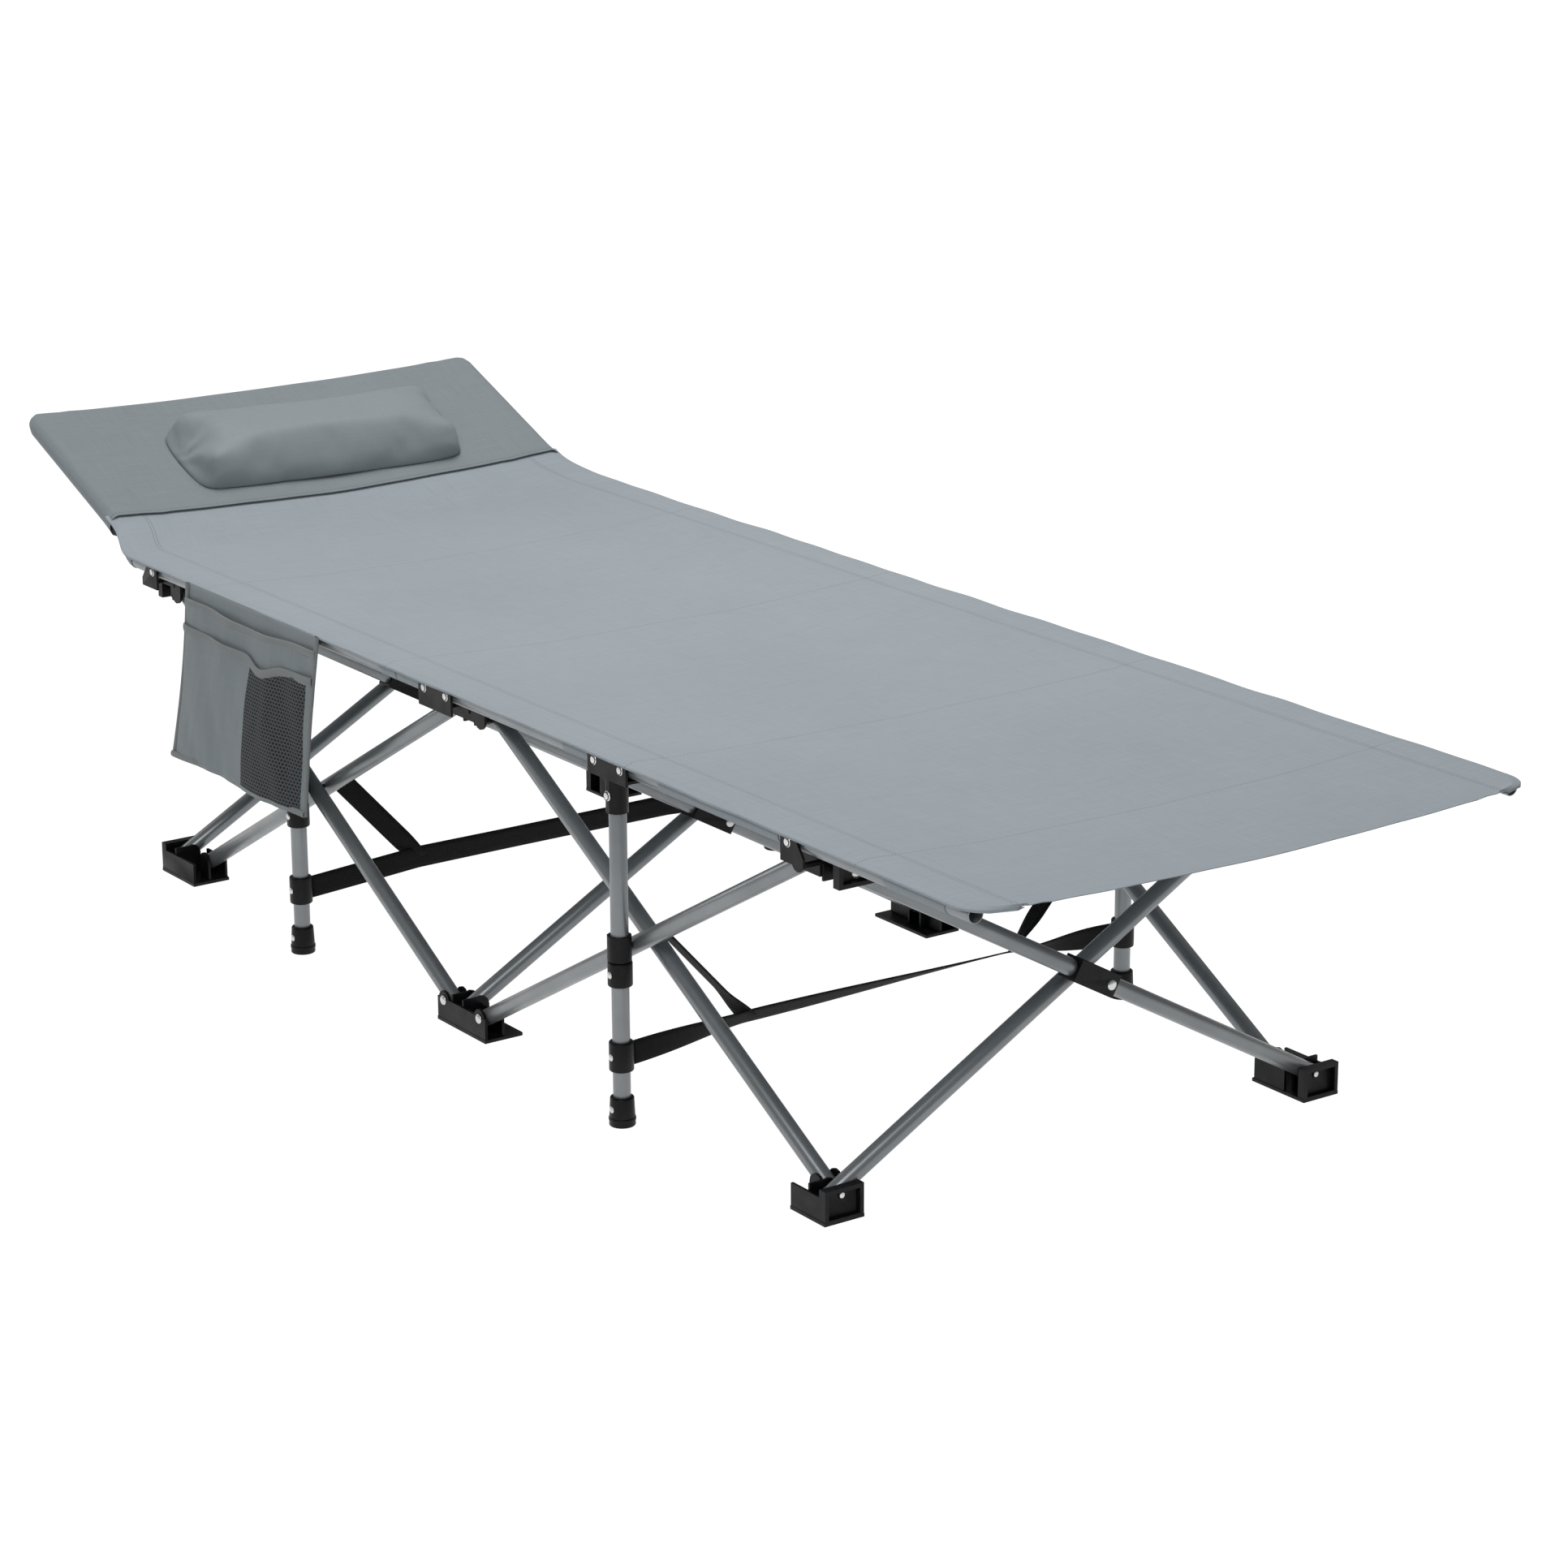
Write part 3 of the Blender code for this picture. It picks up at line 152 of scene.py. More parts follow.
def spread(value, low, high, to_low=0.0, to_high=1.0):
    """A value stretched from one range to another and kept inside it."""
    values = {"Value": value, "From Min": low, "From Max": high, "To Min": to_low, "To Max": to_high}
    return add(value.id_data, "ShaderNodeMapRange", values).outputs["Result"]


def grain(point, scale, detail=3.0, roughness=0.55):
    """Plain noise at a point."""
    values = {"Vector": point, "Scale": scale, "Detail": detail, "Roughness": roughness}
    return add(point.id_data, "ShaderNodeTexNoise", values).outputs["Fac"]


def dress(shader, colour, height, strength, distance, roughness=None):
    """Wire a colour, a surface raised by a height and maybe a roughness to a shader."""
    wire(colour, shader.inputs["Base Color"])
    if roughness is not None:
        wire(roughness, shader.inputs["Roughness"])
    bump = add(height.id_data, "ShaderNodeBump",
               {"Height": height, "Strength": strength, "Distance": distance})
    wire(bump.outputs["Normal"], shader.inputs["Normal"])


def object_point(finish):
    return add(finish.node_tree, "ShaderNodeTexCoord").outputs["Object"]


print("helpers ready")

# %% [markdown]
# The legs are steel tube with a satin silver-grey powder coat. Real powder coat has a fine
# orange peel and faint smudges from handling, so the roughness and the bump both get noise.
# The mouldings are near black, with a fine texture and a few paler scuffs.

# %% Finishes of metal and moulded plastic
PEEL_SCALE = 900.0
PEEL_HEIGHT = 0.00005
SMUDGE_SCALE = 14.0
TEXTURE_SCALE = 1100.0
TEXTURE_HEIGHT = 0.0003
SCUFF_SCALE = 90.0
WEAR_SCALE = 35.0
BLACK = (0.005, 0.005, 0.006)
SCUFFED = (0.012, 0.012, 0.013)


def satin_coat(name, light, dark, metallic, roughness):
    finish, shader = new_finish(name, light, roughness, Metallic=metallic)
    point = object_point(finish)
    smudge = grain(point, SMUDGE_SCALE, 4.0)
    dress(shader, mixed(spread(smudge, 0.35, 0.7), light, dark),
          grain(point, PEEL_SCALE, 2.0), 0.02, PEEL_HEIGHT,
          spread(smudge, 0.3, 0.7, roughness - 0.03, roughness + 0.05))
    return finish


def moulded_black(name, roughness):
    finish, shader = new_finish(name, BLACK, roughness, Specular_IOR_Level=0.20)
    point = object_point(finish)
    scuff = spread(grain(point, SCUFF_SCALE, 5.0), 0.52, 0.75)
    dress(shader, mixed(scuff, BLACK, SCUFFED),
          grain(point, TEXTURE_SCALE, 2.0), 0.18, TEXTURE_HEIGHT,
          spread(grain(point, WEAR_SCALE), 0.3, 0.7, roughness - 0.07, roughness + 0.10))
    return finish


silver = satin_coat("satin_silver_coat", (0.270, 0.288, 0.298), (0.228, 0.245, 0.254), 0.50, 0.32)
rivet_steel = satin_coat("rivet_steel", (0.78, 0.78, 0.77), (0.60, 0.60, 0.60), 0.80, 0.30)
black = moulded_black("moulded_black", 0.42)
print("metal and plastic", [finish.name for finish in (silver, rivet_steel, black)])

# %% [markdown]
# The sheet is coated polyester in a plain weave. Its threads are near a millimetre apart, too
# fine to see from a step away, so the weave is a bump of two crossed waves. What does show is
# the slub: threads a little thicker than the rest, as faint streaks both ways. Stitches follow
# the cloth, so they are drawn on the piece's own UV map, measured in metres.

# %% Finishes of cloth
STITCH_PITCH = 0.0046
STITCH_WIDTH = 0.0011
STITCH_SHARE = 0.68
STITCH_COVER = 0.75
STITCH_SHADE = 0.45
THREAD_STEP = 0.0011
SLUB_STRETCH = 26.0
SLUB_SCALE = 16.0
PATCH_SCALE = 3.0
WEAVE_HEIGHT = 0.0004


def cloth_map(finish):
    """A piece's UV map, whole and as its ways along and across."""
    flat = add(finish.node_tree, "ShaderNodeUVMap", uv_map="UVMap").outputs["UV"]
    ways = add(finish.node_tree, "ShaderNodeSeparateXYZ", {"Vector": flat}).outputs
    return flat, ways["X"], ways["Y"]


def threads(way, step):
    """A wave with one crest in each step."""
    return sums("SINE", sums("MULTIPLY", way, 2 * pi / step))


def stitches(along, across, place):
    """1 on the stitches of a row that runs along one way at a place across it."""
    step = sums("FRACT", sums("DIVIDE", along, STITCH_PITCH))
    dash = sums("LESS_THAN", step, STITCH_SHARE)
    offset = sums("ABSOLUTE", sums("SUBTRACT", across, place))
    return sums("MULTIPLY", dash, sums("LESS_THAN", offset, STITCH_WIDTH / 2))


def woven(name, light, dark, rows_along=(), rows_across=(), thread_step=THREAD_STEP, sheen=0.15,
          roughness=0.78, weave=0.22):
    """Cloth with slub, weave and rows of stitches at places along and across its UV map."""
    finish, shader = new_finish(name, light, roughness, Sheen_Weight=sheen, Sheen_Roughness=0.5,
                                Specular_IOR_Level=0.35)
    flat, along, across = cloth_map(finish)
    slubs = []
    for stretch in ((1.0, SLUB_STRETCH, 1.0), (SLUB_STRETCH, 1.0, 1.0)):
        streak = add(finish.node_tree, "ShaderNodeMapping", {"Vector": flat, "Scale": stretch})
        slubs.append(grain(streak.outputs["Vector"], SLUB_SCALE, 4.0, 0.7))
    slub = sums("MULTIPLY", sums("ADD", *slubs), 0.5)
    patch = spread(grain(object_point(finish), PATCH_SCALE), 0.3, 0.7, 0.0, 0.3)
    colour = mixed(sums("ADD", spread(slub, 0.36, 0.64, 0.0, 0.7), patch), light, dark)
    cloth = sums("MULTIPLY", threads(along, thread_step), threads(across, thread_step))
    height = sums("MULTIPLY_ADD", cloth, weave, sums("MULTIPLY", slub, 0.5))
    masks = [stitches(along, across, place) for place in rows_along]
    masks += [stitches(across, along, place) for place in rows_across]
    if masks:
        sewn = reduce(lambda first, second: sums("MAXIMUM", first, second), masks)
        thread = tuple(STITCH_SHADE * part for part in dark)
        colour = mixed(sums("MULTIPLY", sewn, STITCH_COVER), colour, thread)
        height = sums("ADD", height, sewn)
    dress(shader, colour, height, 0.35, WEAVE_HEIGHT,
          spread(slub, 0.3, 0.7, roughness - 0.06, roughness + 0.06))
    return finish


print("cloth helpers ready")

# %% [markdown]
# Every finished piece is put down by one helper. It moves the shape from the bed's centre to its
# place, gives it its finishes, smooths it where its faces meet at a low angle and makes it ride
# on the body that carries it, so that it folds with the frame. Smaller helpers do what many
# pieces need: a modifier, a UV map, a grid, rounded edges and a turn to a direction.

# %% Put a finished shape in the scene
def link_new(name, form):
    """A new object that has the bmesh as its mesh."""
    mesh = bpy.data.meshes.new(name)
    form.to_mesh(mesh)
    form.free()
    piece = bpy.data.objects.new(name, mesh)
    bpy.context.collection.objects.link(piece)
    return piece


def put(name, form, node, finishes, stands=True, smooth=40.0, recalculate=True):
    """The bmesh becomes a piece that rides with a CAD node, and stands for it or only joins it."""
    bmesh.ops.transform(form, matrix=Matrix.Translation(CENTRE), verts=form.verts)
    if recalculate:
        bmesh.ops.recalc_face_normals(form, faces=form.faces)
    piece = link_new(name, form)
    for finish in finishes:
        piece.data.materials.append(finish)
    piece.data.shade_smooth()
    piece.data.set_sharp_from_angle(angle=radians(smooth))
    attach(piece, body_of_node[node])
    if stands:
        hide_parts(node)
    return piece


def modify(piece, name, kind, **settings):
    """A modifier on a piece, with its settings."""
    return set_all(piece.modifiers.new(name, kind), **settings)


def new_grid(form, columns, rows):
    """A flat grid from -1 to 1, added to a form. Its own faces and points come back."""
    known = set(form.faces)
    bmesh.ops.create_grid(form, x_segments=columns, y_segments=rows, size=1.0)
    faces = [face for face in form.faces if face not in known]
    return faces, {vert for face in faces for vert in face.verts}


def lay_map(form, faces, rule):
    """Write the UV map that the finishes read, by a rule from a point to its place on it."""
    layer = form.loops.layers.uv.get("UVMap") or form.loops.layers.uv.new("UVMap")
    for face in faces:
        for loop in face.loops:
            loop[layer].uv = rule(loop.vert)


def rounded(form, edges, offset, segments):
    return bmesh.ops.bevel(form, geom=list(edges), offset=offset, segments=segments, profile=0.5,
                           affect="EDGES", material=-1)


def whole(form):
    return form.verts[:] + form.edges[:] + form.faces[:]


def of_kind(geometry, kind):
    return [item for item in geometry if isinstance(item, kind)]


def aimed(place, direction):
    """The matrix that turns a shape's own Z to a direction and moves it to a place."""
    turn = Vector(direction).to_track_quat("Z", "X").to_matrix().to_4x4()
    return Matrix.Translation(Vector(place)) @ turn


def clamped(share):
    return min(max(share, 0.0), 1.0)


def eased(share):
    """The share with a gentle start and stop."""
    return share * share * (3 - 2 * share)


print("pieces are put round", tuple(round(value, 4) for value in CENTRE))

# %% [markdown]
# A tube starts as two circles, one inside the other. Bridging them gives its end ring, and
# extruding that ring gives the whole hollow tube with an open bore. A small bevel on the rims
# catches the light as a sawn and deburred tube does.

# %% Tubes
TUBE_SIDES = 40
RIM_BEVEL = 0.0003
RIM_ANGLE = radians(60)
LEVEL = 1e-6


def ring_tube(form, length, radius, place, wall=WALL):
    """A hollow tube that starts at the place's origin and runs up its Z."""
    known = set(form.faces)
    circles = [bmesh.ops.create_circle(form, segments=TUBE_SIDES, radius=size)["verts"]
               for size in (radius, radius - wall)]
    rims = {edge for circle in circles for vert in circle for edge in vert.link_edges}
    ring = bmesh.ops.bridge_loops(form, edges=list(rims))["faces"]
    grown = bmesh.ops.extrude_face_region(form, geom=ring, use_keep_orig=True)["geom"]
    bmesh.ops.translate(form, verts=of_kind(grown, bmesh.types.BMVert), vec=(0.0, 0.0, length))
    verts = {vert for face in form.faces if face not in known for vert in face.verts}
    sharp = {edge for vert in verts for edge in vert.link_edges
             if len(edge.link_faces) == 2 and abs(edge.verts[0].co.z - edge.verts[1].co.z) < LEVEL
             and edge.calc_face_angle(0.0) > RIM_ANGLE}
    bevelled = rounded(form, sharp, RIM_BEVEL, 2)
    verts = {vert for vert in verts if vert.is_valid} | set(bevelled["verts"])
    bmesh.ops.transform(form, matrix=place, verts=list(verts))


def straight_tube(node, direction):
    """A leg tube that stands for its node, between the ends of that node's box."""
    low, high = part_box(node)
    middle = (low + high) / 2 - CENTRE
    along = Vector(direction).normalized()
    length = hypot(RUN, RISE) + 2 * TIP
    form = bmesh.new()
    ring_tube(form, length, TUBE_R, aimed(middle - along * length / 2, along))
    put("coated_" + node, form, node, [silver])


for side in SIDES:
    for end, way in ENDS.items():
        straight_tube(f"outer_tube_{side}_{end}", (way * RUN, 0, RISE))
        straight_tube(f"inner_tube_{side}_{end}", (-way * RUN, 0, RISE))
for station in STATIONS.values():
    straight_tube(f"falling_tube_{station}", (0, RUN, -RISE))
    straight_tube(f"rising_tube_{station}", (0, RUN, RISE))

# %% [markdown]
# The rails under the head bend up twice and lean in. Each starts as a straight tube along X, cut
# across by bisect_plane every centimetre or so, and each cut ring is then swung to the rail's
# real line. That keeps the tube round all along the bend.

# %% Rails and the line that they follow
HEAD_BEND_START = 0.035
HEAD_CREASE = 0.140
HEAD_SLOPE = radians(15)
HEADREST_SLOPE = radians(22)
BEND_LENGTH = 0.050
BEND_STEPS = 24
HEAD_TOE_IN = 0.026
RING_STEP = 0.012
HEAD_END_KEPT_BACK = 0.012
FOOT_END_KEPT_BACK = 0.022


def rail_slope(x):
    """Tangent of the rail's rise at x, towards the head."""
    past = -PITCH - x
    first = clamped((past - HEAD_BEND_START) / BEND_LENGTH)
    second = clamped((past - HEAD_CREASE + BEND_LENGTH / 2) / BEND_LENGTH)
    return tan(HEAD_SLOPE) * first + (tan(HEADREST_SLOPE) - tan(HEAD_SLOPE)) * second


def rail_lift(x):
    """How far the rail has risen at x."""
    past = -PITCH - x
    if past <= 0:
        return 0.0
    slopes = [rail_slope(-PITCH - past * (step + 0.5) / BEND_STEPS) for step in range(BEND_STEPS)]
    return sum(slopes) * past / BEND_STEPS


def toe_in(x):
    """How far the rail has come inboard at x."""
    past = -PITCH - x
    return HEAD_TOE_IN * eased(clamped((past - HEAD_BEND_START) / (HEAD_CREASE - HEAD_BEND_START)))


def cut_across(form, start, stop):
    """Rings of points across a shape that lies along X, so that it can bend."""
    for index in range(1, ceil((stop - start) / RING_STEP)):
        bmesh.ops.bisect_plane(form, geom=whole(form), plane_co=(start + index * RING_STEP, 0, 0),
                               plane_no=(1, 0, 0))


def swing_to_rail(form, side_sign):
    """Lay points drawn round the X axis onto one rail's line."""
    for vert in form.verts:
        x, dy, dz = vert.co
        tilt = Vector((rail_slope(x), 0.0, 1.0)).normalized()
        rail = Vector((x, side_sign * (RAIL_Y - toe_in(x)) + dy, RAIL_Z + rail_lift(x)))
        vert.co = rail + tilt * dz


def make_rail(side, name):
    node = f"rail_{side}_{name}"
    low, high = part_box(node)
    start = low.x - CENTRE.x + (HEAD_END_KEPT_BACK if name == "head" else 0.0)
    stop = high.x - CENTRE.x - (FOOT_END_KEPT_BACK if name == "foot" else 0.0)
    form = bmesh.new()
    ring_tube(form, stop - start, RAIL_R, aimed((start, 0, 0), (1, 0, 0)))
    if name == "head":
        cut_across(form, start, stop)
    swing_to_rail(form, SIDES[side])
    put("coated_" + node, form, node, [silver])


for side in SIDES:
    for name in ("head", "mid_head", "mid_foot", "foot"):
        make_rail(side, name)
print("rail rise at the crease", round(rail_lift(-PITCH - HEAD_CREASE), 4))

# %% [markdown]
# A post is a tube with three black mouldings on it: a cap on the ground, a collar that holds the
# straps and a stop under the sliding collar. Each moulding is a round block with bevelled rims,
# and the cap has a low ring round it.

# %% Posts
CAP_HEIGHT = 0.034
CAP_R = 0.0145
COLLAR_R = 0.0140
STRAP_COLLAR_Z = 0.082
STRAP_COLLAR_HEIGHT = 0.034
STOP_HEIGHT = 0.028
STOP_TOP_Z = CROSSING_Z - 0.0160
POST_TOP_Z = RAIL_Z - 0.025
CAP_FLOOR = 0.004
SOFT_RIM = 0.0016
FINE_RIM = 0.0008
# Each block's foot, top, radius at the foot, radius at the top and bevel.
POST_BLOCKS = (
    (0.0, CAP_HEIGHT, CAP_R + 0.0006, CAP_R - 0.0010, SOFT_RIM),
    (CAP_HEIGHT * 0.18, CAP_HEIGHT * 0.30, CAP_R + 0.0010, CAP_R + 0.0009, FINE_RIM),
    (STRAP_COLLAR_Z - STRAP_COLLAR_HEIGHT / 2, STRAP_COLLAR_Z + STRAP_COLLAR_HEIGHT / 2,
     COLLAR_R, COLLAR_R, SOFT_RIM),
    (STOP_TOP_Z - STOP_HEIGHT, STOP_TOP_Z, COLLAR_R, COLLAR_R, SOFT_RIM),
)


def round_block(form, x, y, z_low, z_high, radius_low, radius_high, bevel):
    """A solid round block with soft rims, a little wider at one end if asked."""
    middle = Matrix.Translation((x, y, (z_low + z_high) / 2))
    verts = bmesh.ops.create_cone(form, cap_ends=True, segments=TUBE_SIDES, radius1=radius_low,
                                  radius2=radius_high, depth=z_high - z_low, matrix=middle)["verts"]
    rims = {edge for vert in verts for edge in vert.link_edges
            if edge.calc_face_angle(0.0) > radians(50)}
    rounded(form, rims, bevel, 3)


for side, sign in SIDES.items():
    for end, way in ENDS.items():
        node = f"post_{side}_{end}"
        x, y = way * POST_X, sign * RAIL_Y
        form = bmesh.new()
        ring_tube(form, POST_TOP_Z - CAP_FLOOR, TUBE_R, Matrix.Translation((x, y, CAP_FLOOR)))
        put("coated_" + node, form, node, [silver])
        form = bmesh.new()
        for block in POST_BLOCKS:
            round_block(form, x, y, *block)
        put("mouldings_" + node, form, node, [black], stands=False)
print("posts to", round(POST_TOP_Z, 4))

# %% [markdown]
# The shoes, brackets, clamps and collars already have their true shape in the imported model, with
# sharp edges. A moulding has no sharp edges, so each is copied, its loose triangles are merged
# into clean faces and a narrow bevel runs along every edge. The brackets' plates end just under
# the cloth, which lies over them.

# %% Black mouldings
MOULD_BEVEL = 0.0010
PLATE_TOP_Z = RAIL_Z + 0.0062
MERGE_DISTANCE = 0.00001
MOULDED = ("shoe_", "bracket_", "post_bracket_", "sliding_collar_", "cross_clamp_")


def soft_moulding(node):
    """A copy of a CAD moulding with its edges rounded."""
    form = bmesh.new()
    form.from_mesh(frame["nodes"][node].data)
    bmesh.ops.remove_doubles(form, verts=form.verts, dist=MERGE_DISTANCE)
    bmesh.ops.dissolve_limit(form, angle_limit=radians(1.0), verts=form.verts, edges=form.edges)
    bmesh.ops.translate(form, verts=form.verts, vec=-CENTRE)
    if "bracket" in node:
        cut = bmesh.ops.bisect_plane(form, geom=whole(form), plane_co=(0, 0, PLATE_TOP_Z),
                                     plane_no=(0, 0, 1), clear_outer=True)
        bmesh.ops.holes_fill(form, edges=of_kind(cut["geom_cut"], bmesh.types.BMEdge))
    piece = put("soft_" + node, form, node, [black], smooth=35.0)
    modify(piece, "rounded edges", "BEVEL", width=MOULD_BEVEL, segments=2, limit_method="ANGLE",
           angle_limit=radians(40), use_clamp_overlap=True, harden_normals=False)


moulded = [node for node in body_of_node if node.startswith(MOULDED)]
for node in moulded:
    soft_moulding(node)
print("mouldings", len(moulded))

# %% [markdown]
# Every pivot ends in a pale steel rivet with a low dome. The places follow from the frame: they
# are listed for the far side and turned half round for the near side, as the mouldings are.

# %% Rivets
RIVET_R = 0.0060
RIVET_FACE_R = 0.0046
RIVET_SMALL_R = 0.0040
DOME = Matrix.Diagonal((1.0, 1.0, 0.38, 1.0))
PLATE_OUT = OUTER_Y + TUBE_R + 0.0006 + 0.0040  # play and plate
FORK_FACE = RAIL_Y + RAIL_R + 0.0009 + 0.0030  # play and fork
BOSS_OUT = TUBE_R + 0.0003 + 0.0032  # play and boss
CLAMP_OUT = TUBE_R + 0.0003 + 0.0040  # play and clamp
CLAMP_BACK = TUBE_R + 0.0006
FORK_OFFSET = 0.024
POST_FORK_OFFSET = 0.026
CLAMP_RIVET = 0.0228
FALL = atan2(RISE, RUN)
rivets = {}


def note_rivets(kind, station, spots):
    """Keep the far side's rivets and their twins on the near side."""
    rivets[f"{kind}_far_{STATIONS[station]}"] = spots
    turned = [((-x, -y, z), (-way_x, -way_y, way_z), radius)
              for (x, y, z), (way_x, way_y, way_z), radius in spots]
    rivets[f"{kind}_near_{STATIONS[-station]}"] = turned


def side_rivets(places, y, z, radius=RIVET_R):
    return [((x, y, z), (0, 1, 0), radius) for x in places]


for station, name in STATIONS.items():
    middle = station * PITCH
    if station:
        shoe_face = middle + CROSS_OFFSET + station * BOSS_OUT
        top_face = middle - CROSS_OFFSET + station * BOSS_OUT
        shoe = [((shoe_face, CROSS_Y, FOOT_PIVOT_Z), (station, 0, 0), RIVET_FACE_R)]
        bracket = [((top_face, CROSS_Y, TOP_PIVOT_Z), (station, 0, 0), RIVET_R)]
        forks = [middle - station * FORK_OFFSET]
    else:
        shoe = side_rivets((-LONG_OFFSET, LONG_OFFSET), PLATE_OUT, FOOT_PIVOT_Z)
        bracket = []
        forks = [-FORK_OFFSET, FORK_OFFSET]
    note_rivets("shoe", station, shoe)
    note_rivets("bracket", station, bracket + side_rivets(forks, FORK_FACE, RAIL_Z))
    front = (middle + CROSS_OFFSET + CLAMP_OUT, CLAMP_RIVET * cos(FALL),
             CROSSING_Z - CLAMP_RIVET * sin(FALL))
    back = (middle - CROSS_OFFSET - CLAMP_BACK, 0.0, CROSSING_Z)
    rivets["cross_clamp_" + name] = [(front, (1, 0, 0), RIVET_R), (back, (-1, 0, 0), RIVET_R)]
for station in ENDS.values():
    x = station * POST_X
    forks = side_rivets((x - POST_FORK_OFFSET, x + POST_FORK_OFFSET), FORK_FACE, RAIL_Z)
    forks += side_rivets([x], FORK_FACE, POST_TOP_Z - TUBE_R)
    note_rivets("post_bracket", station, forks)
    heights = (CAP_HEIGHT * 0.6, STRAP_COLLAR_Z, STOP_TOP_Z - STOP_HEIGHT / 2)
    note_rivets("post", station, [spot for z in heights
                                  for spot in side_rivets([x], RAIL_Y + COLLAR_R, z, RIVET_SMALL_R)])

for node, spots in rivets.items():
    form = bmesh.new()
    for place, direction, radius in spots:
        bmesh.ops.create_uvsphere(form, u_segments=20, v_segments=10, radius=radius,
                                  matrix=aimed(place, direction) @ DOME)
    put("rivets_" + node, form, node, [rivet_steel], stands=False)
print("rivets", sum(len(spots) for spots in rivets.values()))

# %% [markdown]
# The sheet is one length of cloth drawn tight over both rails. It dips a little between them,
# passes over each rail and ends just outside it in a folded hem, and short sleeves sewn
# under it hold the rails. Because the frame folds under it, it is made as four panels that meet
# over the posts and over the middle brackets, each riding on its own near rail.
# Each panel is a flat grid whose points are then laid over the rails' line.

# %% Lines of the sheet
SHEET_SAG = 0.012
CLOTH = 0.0009
EDGE_R = RAIL_R + 0.0014
EDGE_INSET = 0.004
FLAP = 0.0150
FLAP_DROOP = radians(13)
HEM_R = 0.0011
HEM_BACK = 0.008
SHEET_HEAD_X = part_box("sheet_head")[0].x - CENTRE.x
SHEET_FOOT_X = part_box("sheet_foot")[1].x - CENTRE.x
HEAD_CORNER = 0.020
FOOT_CORNER = 0.046
CREASE_X = -PITCH - HEAD_CREASE
FOLD_SHARE = 0.86
FOLD_SPREAD = 0.13
FOLD_PITCH = 0.046
FOLD_DEPTH = 0.0034
PULL_DEPTH = 0.0022
FINE_PULL_DEPTH = 0.0008


def rail_y(x):
    return RAIL_Y - toe_in(x)


def surface_z(x):
    """Height of the cloth's skin right over a rail."""
    return RAIL_Z + rail_lift(x) + EDGE_R * sqrt(1 + rail_slope(x) ** 2)


def edge_folds(x, y, share):
    """Soft folds beside each rail, which run along the bed and come and go."""
    beside = max(0.0, 1 - abs(share - FOLD_SHARE) / FOLD_SPREAD)
    drift = noise.noise(Vector((x * 1.6, copysign(4.0, y), 0.3)))
    strength = max(0.0, 0.35 + noise.noise(Vector((x * 2.7, copysign(2.0, y), 7.7))))
    return FOLD_DEPTH * strength * beside ** 2 * sin(2 * pi * (abs(y) / FOLD_PITCH + 1.2 * drift))


def dip(x, y):
    """The cloth's sag between the rails, deeper away from the brackets, with faint pulls."""
    share = min(abs(y) / (rail_y(x) - EDGE_INSET), 1.0)
    sag = SHEET_SAG * (1 - share ** 2.2)
    lengthwise = 0.85 + 0.15 * abs(sin(pi * (x + POST_X) / PITCH))
    pulls = noise.noise(Vector((x * 2.6, y * 5.0, 1.7))) * PULL_DEPTH
    pulls += noise.noise(Vector((x * 9.0 + y * 6.0, y * 14.0 - x * 3.0, 5.1))) * FINE_PULL_DEPTH
    return sag * lengthwise - pulls * (1 - share ** 4) - edge_folds(x, y, share)


def corner_inset(x):
    """How far the edge has come in at x, round the outer corners."""
    inward, radius = min((x - SHEET_HEAD_X, HEAD_CORNER), (SHEET_FOOT_X - x, FOOT_CORNER))
    if inward >= radius:
        return 0.0
    left = radius - max(inward, 0.0)
    return radius - sqrt(max(radius ** 2 - left ** 2, 0.0))


def flap_point(x, beyond):
    """Out and up from a rail's top line, for a distance on the cloth past that line."""
    wave = noise.noise(Vector((x * 14.0, 0.0, 9.3)))
    droop = FLAP_DROOP * (1 + 0.45 * wave)
    turn = min(beyond / EDGE_R, droop)
    straight = max(min(beyond, FLAP) - turn * EDGE_R, 0.0)
    out = EDGE_R * sin(turn) + straight * cos(droop)
    up = EDGE_R * (cos(turn) - 1) - straight * sin(droop)
    if beyond <= FLAP:
        return out, up
    roll = min((beyond - FLAP) / HEM_R, pi)
    back = max(beyond - FLAP - pi * HEM_R, 0.0)
    ahead = HEM_R * sin(roll) - back
    under = HEM_R * (1 - cos(roll))
    return out + ahead * cos(droop) - under * sin(droop), up - ahead * sin(droop) - under * cos(droop)


def cloth_point(x, reach):
    """The point of the sheet at x, at a signed distance from its middle measured on the cloth."""
    side = copysign(1.0, reach)
    flat = rail_y(x) - corner_inset(x)
    distance = abs(reach)
    if distance <= flat:
        return Vector((x, side * distance, surface_z(x) - dip(x, distance)))
    out, up = flap_point(x, distance - flat)
    return Vector((x, side * (flat + out), surface_z(x) + up))


def pocket_point(x, reach, lift):
    """The point of the head pocket, which wraps round the rails and closes at the bed's end."""
    side = copysign(1.0, reach)
    flat = rail_y(x) - corner_inset(x)
    closing = clamped((HEAD_CORNER - (x - SHEET_HEAD_X)) / HEAD_CORNER)
    radius = (EDGE_R + lift) * sqrt(max(1 - 0.92 * closing ** 2, 0.0))
    centre_z = surface_z(x) - EDGE_R
    distance = abs(reach)
    if distance <= flat:
        sunk = dip(x, distance) * (1 - 0.5 * closing)
        return Vector((x, side * distance, centre_z + radius - sunk))
    turn = (distance - flat) / (EDGE_R + lift)
    if turn <= pi:
        return Vector((x, side * (flat + radius * sin(turn)), centre_z + radius * cos(turn)))
    back = distance - flat - pi * (EDGE_R + lift)
    return Vector((x, side * (flat - back), centre_z - radius))


